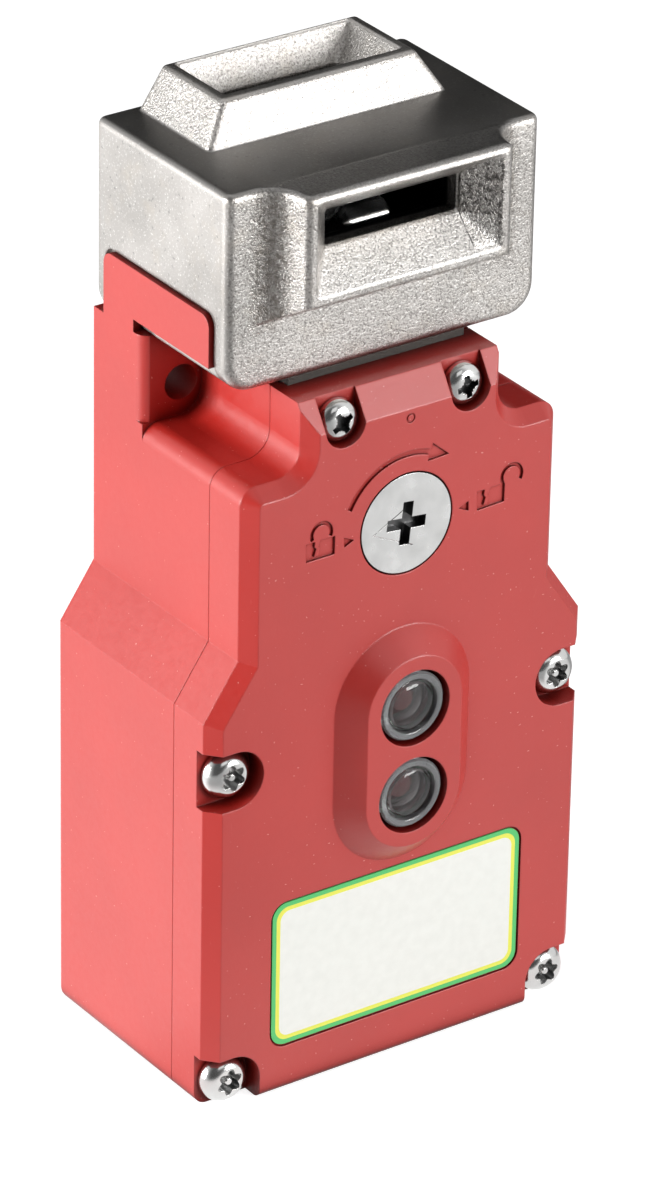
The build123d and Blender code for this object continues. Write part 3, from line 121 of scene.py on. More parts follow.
class Nodes:
    """A node tree with short ways to add, link and combine nodes."""

    def __init__(self, tree):
        self.tree = tree

    def add(self, kind, **settings):
        node = self.tree.nodes.new(kind)
        for key, value in settings.items():
            setattr(node, key, value)
        return node

    def link(self, source, target):
        self.tree.links.new(source, target)

    def fill(self, socket, value):
        """Link a socket to another node's output, or give it a number or a colour."""
        if isinstance(value, bpy.types.NodeSocket):
            self.link(value, socket)
        elif isinstance(value, tuple):
            socket.default_value = (*value, 1)
        else:
            socket.default_value = value

    def math(self, operation, first, second=0.0):
        node = self.add("ShaderNodeMath", operation=operation)
        self.fill(node.inputs[0], first)
        self.fill(node.inputs[1], second)
        return node.outputs[0]

    def product(self, first, *others):
        for other in others:
            first = self.math("MULTIPLY", first, other)
        return first

    def largest(self, first, *others):
        for other in others:
            first = self.math("MAXIMUM", first, other)
        return first

    def less(self, value, share):
        """1 where the value is 0, falling by the share where it is 1."""
        return self.math("SUBTRACT", 1.0, self.math("MULTIPLY", value, share))

    def length(self, first, second):
        """Length of a vector from its two coordinates."""
        squares = [self.math("MULTIPLY", value, value) for value in (first, second)]
        return self.math("SQRT", self.math("ADD", *squares))

    def step(self, value, start, end):
        """0 up to start and 1 from end on, with a smooth rise between them."""
        node = self.add("ShaderNodeMapRange", interpolation_type="SMOOTHSTEP")
        self.link(value, node.inputs["Value"])
        node.inputs["From Min"].default_value = start
        node.inputs["From Max"].default_value = end
        return node.outputs[0]

    def band(self, value, low, high, soft):
        """1 between low and high, falling to 0 over soft on both sides."""
        rise = self.step(value, low - soft, low)
        fall = self.step(value, high + soft, high)
        return self.math("MULTIPLY", rise, fall)


class Material(Nodes):
    """Material with a principled shader, textured by the place on the object."""

    def __init__(self, name):
        self.material = bpy.data.materials.new(name)
        self.material.use_nodes = True
        super().__init__(self.material.node_tree)
        self.shader = self.tree.nodes["Principled BSDF"]
        self.place = self.add("ShaderNodeTexCoord").outputs["Object"]

    def set(self, **values):
        for key, value in values.items():
            name = key.replace("_", " ").title().replace("Ior", "IOR")
            self.fill(self.shader.inputs[name], value)

    def axes(self):
        """Place on the object in millimetres, as three sockets."""
        split = self.add("ShaderNodeSeparateXYZ")
        self.link(self.place, split.inputs["Vector"])
        return [self.math("MULTIPLY", split.outputs[axis], 1 / MM) for axis in "XYZ"]

    def stretched(self, scale):
        """Place on the object, scaled along each axis."""
        mapping = self.add("ShaderNodeMapping")
        mapping.inputs["Scale"].default_value = scale
        self.link(self.place, mapping.inputs["Vector"])
        return mapping.outputs["Vector"]

    def noise(self, size_mm, detail=2.0, rough=0.5, stretch=(1, 1, 1)):
        """Noise with features of about size_mm."""
        noise = self.add("ShaderNodeTexNoise")
        noise.inputs["Scale"].default_value = 1.0
        noise.inputs["Detail"].default_value = detail
        noise.inputs["Roughness"].default_value = rough
        scale = tuple(1 / MM / size_mm * share for share in stretch)
        self.link(self.stretched(scale), noise.inputs["Vector"])
        return noise.outputs["Fac"]

    def ramp(self, source, stops):
        """Colour ramp from stops of (position, colour or grey level)."""
        ramp = self.add("ShaderNodeValToRGB")
        elements = ramp.color_ramp.elements
        while len(elements) < len(stops):
            elements.new(0.5)
        for element, (position, colour) in zip(elements, stops):
            element.position = position
            grey = isinstance(colour, (int, float))
            element.color = (colour, colour, colour, 1) if grey else (*colour, 1)
        self.link(source, ramp.inputs["Fac"])
        return ramp.outputs["Color"]

    def mix(self, factor, first, second, blend="MIX"):
        node = self.add("ShaderNodeMix", data_type="RGBA", blend_type=blend)
        # A mix node of colours holds its factor and its two colours in these sockets
        for index, value in ((0, factor), (6, first), (7, second)):
            self.fill(node.inputs[index], value)
        return node.outputs[2]

    def bump(self, height, depth_mm, normal=None):
        node = self.add("ShaderNodeBump")
        node.inputs["Strength"].default_value = 1.0
        node.inputs["Distance"].default_value = depth_mm * MM
        self.link(height, node.inputs["Height"])
        if normal is not None:
            self.link(normal, node.inputs["Normal"])
        return node.outputs["Normal"]

    def bevel(self, radius_mm):
        node = self.add("ShaderNodeBevel", samples=4)
        node.inputs["Radius"].default_value = radius_mm * MM
        return node.outputs["Normal"]

    def openness(self, reach_mm):
        """Share of the surroundings that a surface point sees, up to reach_mm away."""
        node = self.add("ShaderNodeAmbientOcclusion", samples=8)
        node.inputs["Distance"].default_value = reach_mm * MM
        return node.outputs["AO"]

    def zone(self, axes, limits):
        """1 inside a box given by its (from, to, soft edge) along each of three axes."""
        return self.product(*(self.band(axis, *limit) for axis, limit in zip(axes, limits)))


# Materials; sizes of noise and depths of bumps in millimetres
def red_plastic():
    """Moulded red: faint flow clouds, fine grain, pale worn flecks, dust, and painted shade in
    hollows.
    """
    n = Material("red_plastic")
    cloud = n.noise(24, detail=4, rough=0.55)
    grain = n.noise(0.9, detail=4, rough=0.65)
    worn = n.ramp(n.noise(0.9, detail=2, stretch=(1, 1, 0.45)), [(0.74, 0.0), (0.80, 0.14)])
    dust = n.ramp(n.noise(0.34, detail=0), [(0.850, 0.0), (0.858, 0.8)])
    tone = n.ramp(cloud, [(0.32, (0.455, 0.016, 0.010)), (0.68, (0.505, 0.021, 0.014))])
    tone = n.mix(worn, tone, (0.62, 0.16, 0.14))
    tone = n.mix(dust, tone, (0.72, 0.30, 0.27))
    # Painted shade: the red darkens and its sheen fades where the surface sees little of its
    # surroundings
    openness = n.openness(4.0)
    shade = n.ramp(openness, [(0.30, 0.22), (0.90, 1.0)])
    n.set(base_color=n.mix(1.0, tone, shade, "MULTIPLY"))
    n.set(specular_ior_level=n.ramp(openness, [(0.45, 0.15), (0.92, 1.0)]))
    n.set(roughness=n.ramp(grain, [(0.3, 0.34), (0.7, 0.43)]))
    n.set(normal=n.bump(grain, 0.016, n.bevel(0.28)))
    return n.material


def zinc_casting():
    """Tumbled zinc: sandy sparkle, rougher in corners and funnels, painted shade and light in places,
    and painted black shade inside the head.
    """
    n = Material("zinc_casting")
    x, y, z = n.axes()
    across = n.math("ABSOLUTE", x)
    corners = n.zone((across, y, z), HOLLOW_CORNERS)
    cheek = n.zone((x, y, z), FUNNEL_CHEEK)
    funnel_floor = n.zone((across, y, z), FUNNEL_FLOOR)
    inside = n.zone((across, y, z), INSIDE)
    crown = n.band(z, *CROWN_LEVEL)
    top = n.band(z, *TOP_LEVEL)
    sandy = n.largest(crown, n.band(y, *FRONT_DEPTH))

    sand = n.noise(0.30, detail=2, rough=0.7)
    grain = n.noise(0.75, detail=3, rough=0.6)
    cloud = n.noise(11, detail=3)
    stain = n.noise(5, detail=4, rough=0.6)

    tone = n.ramp(cloud, [(0.3, (0.44, 0.420, 0.398)), (0.7, (0.56, 0.535, 0.510))])
    tone = n.mix(n.ramp(stain, [(0.52, 0.0), (0.72, 0.35)]), tone, (0.56, 0.50, 0.42))
    tone = n.mix(n.ramp(sand, [(0.58, 0.0), (0.70, 0.75)]), tone, (0.84, 0.83, 0.81))
    tone = n.mix(n.ramp(grain, [(0.28, 0.6), (0.38, 0.0)]), tone, (0.20, 0.195, 0.19))
    # Painted shade: the right cheek of the funnel darkens in the grain's pattern
    cheek_painted_shade = n.product(cheek, n.ramp(grain, [(0.40, 0.8), (0.52, 0.0)]))
    tone = n.mix(cheek_painted_shade, tone, (0.06, 0.055, 0.05))
    # Painted shade: the hollow corners beside the snout darken in the grain's pattern
    corner_painted_shade = n.product(corners, n.ramp(grain, [(0.36, 0.75), (0.60, 0.15)]))
    tone = n.mix(corner_painted_shade, tone, (0.17, 0.15, 0.125))
    dark_sand = n.product(n.ramp(sand, [(0.34, 0.75), (0.50, 0.0)]), sandy)
    tone = n.mix(dark_sand, tone, (0.17, 0.16, 0.15))
    # Painted light: the funnel floor brightens toward near white in the sand's speckle
    funnel_painted_light = n.product(funnel_floor, n.ramp(sand, [(0.38, 0.15), (0.56, 0.75)]))
    tone = n.mix(funnel_painted_light, tone, (0.96, 0.93, 0.90))
    # Painted shade: the flat top of the head is darkened
    tone = n.mix(n.product(top, 0.6), tone, (0.20, 0.195, 0.19))
    # Painted shade: the inside of the head is near black
    n.set(base_color=n.mix(inside, tone, (0.012, 0.012, 0.013)), metallic=1.0)
    n.set(roughness=n.ramp(cloud, [(0.3, 0.30), (0.7, 0.38)]))

    shares = ((cheek, 2.2), (crown, 0.35), (funnel_floor, 0.45))
    coarse = n.largest(corners, *(n.product(mask, share) for mask, share in shares))
    height = n.mix(0.45, sand, grain)
    normal = n.bump(height, 0.040, n.bevel(0.55))
    normal = n.bump(n.product(sand, sandy), 0.05, normal)
    n.set(normal=n.bump(n.product(height, coarse), 0.16, normal))
    return n.material


def bright_metal(name, colour, rough, scratch_mm=0.4, depth_mm=0.004, edge_mm=0.12):
    """Bare metal with faint clouds and fine scratches that run across Z."""
    n = Material(name)
    scratch = n.noise(scratch_mm, detail=2, stretch=(1, 1, 6))
    cloud = n.noise(3, detail=2)
    dark = tuple(c * 0.86 for c in colour)
    n.set(base_color=n.ramp(cloud, [(0.3, dark), (0.7, colour)]), metallic=1.0)
    n.set(roughness=n.ramp(cloud, [(0.3, rough * 0.8), (0.7, rough * 1.25)]))
    n.set(normal=n.bump(scratch, depth_mm, n.bevel(edge_mm)))
    return n.material


def plain_plastic(name, colour, rough):
    """Plastic or rubber with faint clouds and a fine grain."""
    n = Material(name)
    grain = n.noise(0.8, detail=3)
    cloud = n.noise(7, detail=2)
    dark = tuple(c * 0.85 for c in colour)
    n.set(base_color=n.ramp(cloud, [(0.3, dark), (0.7, colour)]))
    n.set(roughness=n.ramp(grain, [(0.3, rough * 0.9), (0.7, rough * 1.1)]))
    n.set(normal=n.bump(grain, 0.01, n.bevel(0.15)))
    return n.material


def coil_winding():
    """Enamelled copper in turns that follow each other along Z."""
    n = Material("coil_winding")
    wave = n.add("ShaderNodeTexWave", wave_type="BANDS", bands_direction="Z")
    wave.inputs["Scale"].default_value = 1.0
    n.link(n.stretched((0, 0, 1 / MM)), wave.inputs["Vector"])
    turns = wave.outputs["Fac"]
    n.set(base_color=n.ramp(turns, [(0.2, (0.22, 0.07, 0.02)), (0.8, (0.62, 0.25, 0.09))]))
    n.set(roughness=0.35, normal=n.bump(turns, 0.08))
    return n.material


def ring_mask(n, x, z, centre_z):
    """1 in the flat rim of the lens at centre_z."""
    radius = n.length(x, n.math("SUBTRACT", z, centre_z))
    return n.band(radius, *LENS_RIM)


def clear_lens():
    """Clear moulded lens, greyer in its thick rim."""
    n = Material("clear_lens")
    x, _, z = n.axes()
    rim = n.largest(*(ring_mask(n, x, z, centre_z) for centre_z in LENS_Z))
    n.set(base_color=n.mix(rim, (0.72, 0.68, 0.68), (0.55, 0.55, 0.57)))
    n.set(transmission_weight=n.ramp(rim, [(0.0, 1.0), (1.0, 0.72)]))
    n.set(roughness=0.04, ior=1.45, normal=n.bump(n.noise(2.4, detail=1), 0.02))
    return n.material


def outside_rectangle(n, half_x, half_z, radius):
    """1 outside a rounded rectangle round the label's centre, and 0 inside it."""
    x, _, z = n.axes()
    across = n.math("ABSOLUTE", x)
    along = n.math("ABSOLUTE", n.math("SUBTRACT", z, LABEL_Z))
    past_x = n.math("MAXIMUM", n.math("SUBTRACT", across, half_x - radius), 0.0)
    past_z = n.math("MAXIMUM", n.math("SUBTRACT", along, half_z - radius), 0.0)
    past_corner = n.math("SUBTRACT", n.length(past_x, past_z), radius)
    return n.math("GREATER_THAN", past_corner, 0.0)


def label_film():
    """White film with a green border and a thinner yellow line inside it."""
    n = Material("label_film")
    grain = n.noise(1.5, detail=2)
    field = n.ramp(grain, [(0.3, (0.88, 0.89, 0.84)), (0.7, (0.92, 0.93, 0.88))])
    field = n.mix(outside_rectangle(n, *LABEL_LINE), field, (0.88, 0.88, 0.12))
    field = n.mix(outside_rectangle(n, *LABEL_BORDER), field, (0.10, 0.58, 0.17))
    n.set(base_color=field, roughness=0.32, normal=n.bump(grain, 0.01))
    return n.material


add_camera()

red = red_plastic()
lens_clear = clear_lens()
chrome = bright_metal("bright_screw", (0.74, 0.74, 0.73), 0.16)
release_metal = bright_metal("release_metal", (0.74, 0.74, 0.73), 0.24, scratch_mm=1.2)
# Darker copies of the bright metal: painted shade in the screw and release recesses
painted_recess_shade = bright_metal("painted_recess_shade", (0.13, 0.13, 0.13), 0.35)
painted_star_shade = bright_metal("star_recess_painted_shade", (0.38, 0.38, 0.38), 0.30)
plated = bright_metal("plated_steel", (0.60, 0.61, 0.63), 0.30)
# Painted shade: the base plate under the head gets a near-black steel colour
painted_shade_steel = bright_metal(
    "painted_shade_steel", (0.070, 0.065, 0.060), 0.45, scratch_mm=0.5, depth_mm=0.05,
)
cam_steel = bright_metal("cam_steel", (0.78, 0.78, 0.77), 0.24, edge_mm=0.5)
polished = bright_metal("polished_steel", (0.72, 0.72, 0.71), 0.18)
wire = bright_metal("spring_wire", (0.45, 0.46, 0.48), 0.28)
brass = bright_metal("brass", (0.72, 0.52, 0.24), 0.28)
black = plain_plastic("black_plastic", (0.020, 0.020, 0.022), 0.45)
cream = plain_plastic("cream_plastic", (0.66, 0.62, 0.50), 0.45)
rubber = plain_plastic("black_rubber", (0.018, 0.018, 0.018), 0.70)
# Darker red: painted shade on the walls of the engraved signs
painted_groove_shade = plain_plastic("painted_groove_shade", (0.20, 0.010, 0.007), 0.5)
lamp_red = plain_plastic("lamp_red", (0.10, 0.006, 0.006), 0.20)
board_green = plain_plastic("board_green", (0.02, 0.13, 0.055), 0.35)

NODE_MATERIALS = {
    "housing": red,
    "front_cover": red,
    "cover_gasket": rubber,
    "label_plate": label_film(),
    "cover_screws": chrome,
    "head_screws": chrome,
    "head_casting": zinc_casting(),
    "head_base_plate": painted_shade_steel,
    "head_base_screws": plated,
    "cam_wheel": cam_steel,
    "cam_shaft": polished,
    "shaft_keepers": black,
    "actuating_plunger": polished,
    "plunger_bush": black,
    "plunger_spring": wire,
    "contact_slide": cream,
    "contact_blocks": black,
    "block_screws": brass,
    "lock_slide": plated,
    "armature": polished,
    "lock_spring": wire,
    "solenoid_yoke": plated,
    "solenoid_bobbin": cream,
    "solenoid_coil": coil_winding(),
    "yoke_screws": plated,
    "terminal_block": black,
    "terminal_screws": brass,
    "indicator_lenses": lens_clear,
    "indicator_lamps": lamp_red,
    "indicator_board": board_green,
    "board_screws": plated,
    "release_disc": release_metal,
    "release_clip": wire,
    "release_seal": rubber,
}
for node_name, node_material in NODE_MATERIALS.items():
    node_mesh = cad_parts[node_name].data
    node_mesh.materials.clear()
    node_mesh.materials.append(node_material)


# Mesh helpers; all places are in millimetres, except in a finished mesh
MERGE_DISTANCE = 0.002
SHARP_ANGLE = 35
# Share of the way into a face at which its surface is looked up on the solid, and the cosine
# between two normals above which they belong to the same surface
PROBE_INSET = 0.02
SAME_SURFACE = 0.8


def edit_mesh(mesh, change):
    """Apply a change to a mesh's editable form and write it back."""
    shape = bmesh.new()
    shape.from_mesh(mesh)
    change(shape)
    shape.to_mesh(mesh)
    shape.free()


def linked_object(name, data):
    piece = bpy.data.objects.new(name, data)
    bpy.context.scene.collection.objects.link(piece)
    return piece


def closed_piece(name, vertices, faces):
    """Closed piece with its faces turned outwards."""
    mesh = bpy.data.meshes.new(name)
    mesh.from_pydata([Vector(v) * MM for v in vertices], [], faces)
    mesh.validate()
    edit_mesh(mesh, lambda shape: bmesh.ops.recalc_face_normals(shape, faces=shape.faces))
    return linked_object(name, mesh)


def prism(points, front, back):
    """Closed prism along Y over an outline of (x, z) points."""
    count = len(points)
    vertices = [(x, front, z) for x, z in points] + [(x, back, z) for x, z in points]
    faces = [list(range(count)), list(range(2 * count - 1, count - 1, -1))]
    for i in range(count):
        j = (i + 1) % count
        faces.append([i, count + i, count + j, j])
    return closed_piece("tool", vertices, faces)


def lathe(name, profile, centre, steps=48):
    """Closed turned piece along Y; the profile lists (radius, y), with both ends on the axis."""
    cx, cz = centre
    vertices, faces, rings = [], [], []
    for radius, y in profile:
        start = len(vertices)
        if radius == 0:
            vertices.append((cx, y, cz))
        else:
            for i in range(steps):
                angle = 2 * math.pi * i / steps
                vertices.append((cx + radius * math.cos(angle), y, cz + radius * math.sin(angle)))
        rings.append(list(range(start, len(vertices))))
    for first, second in zip(rings, rings[1:]):
        for i in range(steps):
            j = (i + 1) % steps
            if len(first) == 1:
                faces.append([first[0], second[i], second[j]])
            elif len(second) == 1:
                faces.append([first[i], second[0], first[j]])
            else:
                faces.append([first[i], second[i], second[j], first[j]])
    return closed_piece(name, vertices, faces)


def apply_modifiers(piece):
    evaluated = piece.evaluated_get(bpy.context.evaluated_depsgraph_get())
    mesh = bpy.data.meshes.new_from_object(evaluated)
    piece.modifiers.clear()
    piece.data = mesh


def combine(target, tools, operation="DIFFERENCE"):
    """Boolean of the target with each tool in turn; the tools are used up."""
    for tool in tools:
        modifier = target.modifiers.new("cut", "BOOLEAN")
        modifier.operation = operation
        modifier.solver = "EXACT"
        modifier.object = tool
        apply_modifiers(target)
        bpy.data.objects.remove(tool)
    return target


def smooth(piece):
    """Smooth shading below the sharp angle, with normals that keep the large flat faces flat."""
    piece.data.polygons.foreach_set("use_smooth", [True] * len(piece.data.polygons))
    piece.data.set_sharp_from_angle(angle=math.radians(SHARP_ANGLE))
    modifier = piece.modifiers.new("flat_faces", "WEIGHTED_NORMAL")
    modifier.mode = "FACE_AREA"
    modifier.weight = 100
    modifier.keep_sharp = True
    apply_modifiers(piece)


def joined(name, pieces):
    """One smoothly shaded object from several."""
    whole = bmesh.new()
    for piece in pieces:
        whole.from_mesh(piece.data)
        bpy.data.objects.remove(piece)
    mesh = bpy.data.meshes.new(name)
    whole.to_mesh(mesh)
    whole.free()
    piece = linked_object(name, mesh)
    smooth(piece)
    return piece


def copy_node(node, name):
    """Copy of a solid's mesh with the points merged that its faces share."""
    def merge(shape):
        bmesh.ops.remove_doubles(shape, verts=shape.verts, dist=MERGE_DISTANCE * MM)

    piece = linked_object(name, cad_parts[node].data.copy())
    edit_mesh(piece.data, merge)
    return piece


def keep_normals(piece, source):
    """Take the solid's own normals wherever the engraved copy still follows its surface."""
    source.calc_loop_triangles()
    triangles = source.loop_triangles
    places = [vertex.co.copy() for vertex in source.vertices]
    tree = BVHTree.FromPolygons(places, [tuple(t.vertices) for t in triangles])
    mesh = piece.data
    mesh.polygons.foreach_set("use_smooth", [True] * len(mesh.polygons))
    normals = []
    for face in mesh.polygons:
        for index in face.vertices:
            probe = mesh.vertices[index].co.lerp(face.center, PROBE_INSET)
            hit, _, nearest, _ = tree.find_nearest(probe)
            corners = [places[v] for v in triangles[nearest].vertices]
            own = [source.corner_normals[c].vector for c in triangles[nearest].loops]
            normal = barycentric_transform(hit, *corners, *own).normalized()
            follows = normal.dot(face.normal) > SAME_SURFACE
            normals.append(normal if follows else face.normal.copy())
    mesh.normals_split_custom_set(normals)


def finish_piece(piece, material, node, body):
    """Put the piece in its node's place and let it move with its body."""
    piece.data.materials.clear()
    piece.data.materials.append(material)
    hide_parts(node)
    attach(piece, body)


def paint_recess_shade(piece, material, in_recess):
    """Paint shade on the faces that lie in a recess or an engraving, with their own darker material.
    """
    piece.data.materials.append(material)
    for face in piece.data.polygons:
        if in_recess(face.center / MM):
            face.material_index = 1


def within(value, limits):
    return limits[0] < value < limits[1]


def arc(cx, cz, radius, start, end, steps):
    """Points on an arc, from start to end degrees."""
    angles = [math.radians(start + (end - start) * i / steps) for i in range(steps + 1)]
    return [(cx + radius * math.cos(a), cz + radius * math.sin(a)) for a in angles]


def cross(cx, cz, reach, half, turn):
    """Outline of a cross with arms of a reach and half a width."""
    corners = []
    for quarter in range(4):
        angle = turn + quarter * math.pi / 2
        u = (math.cos(angle), math.sin(angle))
        v = (-u[1], u[0])
        for along, side in ((reach, -half), (reach, half), (half, half)):
            corners.append((cx + along * u[0] + side * v[0], cz + along * u[1] + side * v[1]))
    return corners


def star(cx, cz, outer, inner, turn, lobes=6, steps=72):
    """Outline of a star recess with round lobes; the power below 1 makes them broad."""
    points = []
    for i in range(steps):
        angle = 2 * math.pi * i / steps
        wave = 0.5 + 0.5 * math.cos(lobes * angle)
        radius = inner + (outer - inner) * wave ** 0.8
        points.append((cx + radius * math.cos(angle + turn), cz + radius * math.sin(angle + turn)))
    return points


# Engraved signs on the cover: turning arrow, two pointers, two padlocks and a small ring
ENGRAVING = 0.32
RING_ENGRAVING = 0.12
SIGN_FRONT = FRONT_Y - 0.4
SIGN_BACK = FRONT_Y + ENGRAVING
# Arrow: radii of its two edges, and their start and end in degrees
ARROW_RADII = (9.58, 10.36)
ARROW_OUTER_TURN = (154.5, 69.0)
ARROW_INNER_TURN = (69.5, 155.0)
ARROW_STEPS = 26
ARROW_HEAD = [(3.92, 90.43), (6.52, 88.21), (3.20, 88.04)]
RING_CENTRE = (0.3, 95.0)
RING_RADII = (0.46, 0.70)
# Where the walls of the signs lie: distance from the release, distance from the middle, height
ARROW_ZONE = (9.3, 10.8)
ARROW_FOOT = RELEASE_Z + 3
SIDE_ZONE = (8, 18.9)
SIDE_HEIGHT = (78.4, 84.4)
WALL_MARGIN = 0.02
POINTERS = [
    [(-9.82, 80.55), (-9.72, 79.14), (-8.24, 79.81)],
    [(8.29, 79.76), (9.91, 79.01), (9.87, 80.41)],
]


def sign(points):
    """Cutter for one sign from its outline."""
    return prism(points, SIGN_FRONT, SIGN_BACK)


def turning_arrow():
    """Arrow bent round the release, clockwise to its head."""
    inner, outer = ARROW_RADII
    points = arc(0, RELEASE_Z, outer, *ARROW_OUTER_TURN, ARROW_STEPS)
    points += ARROW_HEAD
    points += arc(0, RELEASE_Z, inner, *ARROW_INNER_TURN, ARROW_STEPS)
    return sign(points)


def sign_hole(points):
    """Cutter for an opening right through a sign, which leaves that part of the front standing."""
    return prism(points, SIGN_FRONT - 1, SIGN_BACK + 1)


def padlock_body(corners, keyhole):
    """Cutter for a padlock's body, which leaves its keyhole standing."""
    return combine(sign(corners), [sign_hole(keyhole)])


def closed_padlock():
    """Body and bow of the left padlock."""
    body = padlock_body(
        [(-15.76, 81.21), (-15.70, 78.60), (-11.27, 78.64), (-11.22, 81.23)],
        [(-14.28, 81.50), (-14.42, 80.45), (-14.12, 80.20), (-14.47, 79.12), (-13.85, 79.08),
         (-13.62, 80.15), (-13.82, 80.45), (-13.42, 81.50)],
    )
    centre = (-13.36, 82.12)
    # Bow from two arcs: radius, start and end in degrees, steps
    bow = arc(*centre, 1.80, -24, 206, 20) + arc(*centre, 1.27, 206, -24, 20)
    return [body, sign(bow)]


def open_padlock():
    """Body and raised bow of the right padlock."""
    body = padlock_body(
        [(11.20, 81.35), (11.29, 78.60), (15.62, 78.80), (15.66, 81.42)],
        [(12.48, 81.60), (12.32, 80.55), (12.62, 80.25), (12.30, 79.12), (12.87, 79.14),
         (13.10, 80.20), (12.95, 80.50), (13.45, 81.60)],
    )
    centre = (16.73, 82.25)
    foot = [(15.20, 81.20), (15.66, 81.20)]
    bow = arc(*centre, 1.86, -30, 200, 20) + foot + arc(*centre, 1.33, 192, -30, 20)
    return [body, sign(bow)]


def small_ring():
    """Shallow ring from two circles of 24 points."""
    inner, outer = (arc(*RING_CENTRE, radius, 0, 345, 23) for radius in RING_RADII)
    return combine(prism(outer, SIGN_FRONT, FRONT_Y + RING_ENGRAVING), [sign_hole(inner)])


def in_sign_wall(centre):
    """Is a face centre between the front and the engraved floor, inside one of the signs?"""
    around = math.hypot(centre.x, centre.z - RELEASE_Z)
    in_arrow = within(around, ARROW_ZONE) and centre.z > ARROW_FOOT
    in_side = within(abs(centre.x), SIDE_ZONE) and within(centre.z, SIDE_HEIGHT)
    in_wall = within(centre.y, (FRONT_Y + WALL_MARGIN, SIGN_BACK - WALL_MARGIN))
    return in_wall and (in_arrow or in_side)


def add_engraved_cover():
    cover = copy_node("front_cover", "front_cover_marked")
    tools = [turning_arrow(), *closed_padlock(), *open_padlock()]
    tools += [sign(points) for points in POINTERS]
    combine(cover, tools + [small_ring()])
    keep_normals(cover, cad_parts["front_cover"].data)
    finish_piece(cover, red, "front_cover", "switch_body")
    paint_recess_shade(cover, painted_groove_shade, in_sign_wall)


# Screws: dome as (radius, height over the seat), above a plain shank
SHANK_RADIUS = 1.5
SHANK_LENGTH = 16
BUTTON_DOME = [(0, 2.55), (1.95, 2.55), (2.2, 2.48), (2.62, 2.25), (3.0, 1.85), (3.28, 1.35),
               (3.43, 0.8), (3.5, 0.25), (3.46, 0)]
BUTTON_TURNS = (0.35, 0.62, 0.20, 0.48)
STAR_RADII = (1.92, 1.30)
STAR_FLOOR = 1.05
PIN = [(0, 2.35), (0.42, 2.35), (0.56, 2.2), (0.56, 1.0), (0, 1.0)]
PAN_DOME = [(0, 2.2), (1.4, 2.16), (1.95, 2.02), (2.42, 1.75), (2.76, 1.35), (2.92, 0.8),
            (2.95, 0.3), (2.88, 0)]
PAN_TURNS = (0.55, 0.18)
# Cross recesses as (reach of the arms, half their width, height of the floor over the seat)
PAN_CROSS = (1.62, 0.42, 0.9)
PAN_CROSS_HEART = (0.95, 0.62, 1.1)
# The cutters start this high over the seat, clear of the domes
TOOL_HEIGHT = 4
# Where a face belongs to a recess: height over the seat, distance from the screw's axis
STAR_TOP = 2.5
STAR_ZONE = (0.6, 1.95)
PAN_TOP = 1.95
PAN_ZONE = (0.0, 1.75)


def screw_blank(spot, seat, dome):
    """Turned screw without its drive, its dome towards the front."""
    shank = [(SHANK_RADIUS, seat), (SHANK_RADIUS, seat + SHANK_LENGTH), (0, seat + SHANK_LENGTH)]
    return lathe("screw", [(radius, seat - height) for radius, height in dome] + shank, spot)


def button_screw(spot, turn):
    """Button head with a six-lobed recess and a pin in its middle."""
    screw = screw_blank(spot, COVER_SEAT, BUTTON_DOME)
    recess = star(*spot, *STAR_RADII, turn)
    combine(screw, [prism(recess, COVER_SEAT - TOOL_HEIGHT, COVER_SEAT - STAR_FLOOR)])
    pin = lathe("pin", [(radius, COVER_SEAT - height) for radius, height in PIN], spot, 24)
    return combine(screw, [pin], "UNION")


def pan_screw(spot, turn):
    """Pan head with a cross recess, wider in its middle."""
    screw = screw_blank(spot, HEAD_SEAT, PAN_DOME)
    for reach, half, floor in (PAN_CROSS, PAN_CROSS_HEART):
        recess = cross(*spot, reach, half, turn)
        combine(screw, [prism(recess, HEAD_SEAT - TOOL_HEIGHT, HEAD_SEAT - floor)])
    return screw


def in_drive(centre, spots, top_y, zone):
    """Is a face centre behind top_y and in the zone round the axis of the nearest screw?"""
    distance = min(math.hypot(centre.x - x, centre.z - z) for x, z in spots)
    return centre.y > top_y and within(distance, zone)


def in_star(centre):
    return in_drive(centre, COVER_SPOTS, COVER_SEAT - STAR_TOP, STAR_ZONE)


def in_pan_cross(centre):
    return in_drive(centre, HEAD_SPOTS, HEAD_SEAT - PAN_TOP, PAN_ZONE)


def add_screws():
    buttons = [button_screw(spot, turn) for spot, turn in zip(COVER_SPOTS, BUTTON_TURNS)]
    buttons = joined("cover_screw_heads", buttons)
    finish_piece(buttons, chrome, "cover_screws", "switch_body")
    paint_recess_shade(buttons, painted_star_shade, in_star)
    pans = [pan_screw(spot, turn) for spot, turn in zip(HEAD_SPOTS, PAN_TURNS)]
    pans = joined("head_screw_heads", pans)
    finish_piece(pans, chrome, "head_screws", "switch_body")
    paint_recess_shade(pans, painted_recess_shade, in_pan_cross)


# Release disc with its cross recess and its fine engraved pointer
RELEASE_CROSS_ARM = (3.05, 0.80)
RELEASE_CROSS_TURN = -6
RELEASE_CROSS_DEPTH = (FRONT_Y - 0.5, FRONT_Y + 1.5)
RELEASE_WALL_DEPTH = (FRONT_Y + 0.04, FRONT_Y + 1.7)
RELEASE_ZONE = 3.3
POINTER_TIP = (-5.25, 79.48)
POINTER_ENDS = [(1.06, 76.54), (0.74, 82.65)]
POINTER_HALF_WIDTH = 0.06
POINTER_DEPTH = (FRONT_Y - 0.2, FRONT_Y + 0.1)


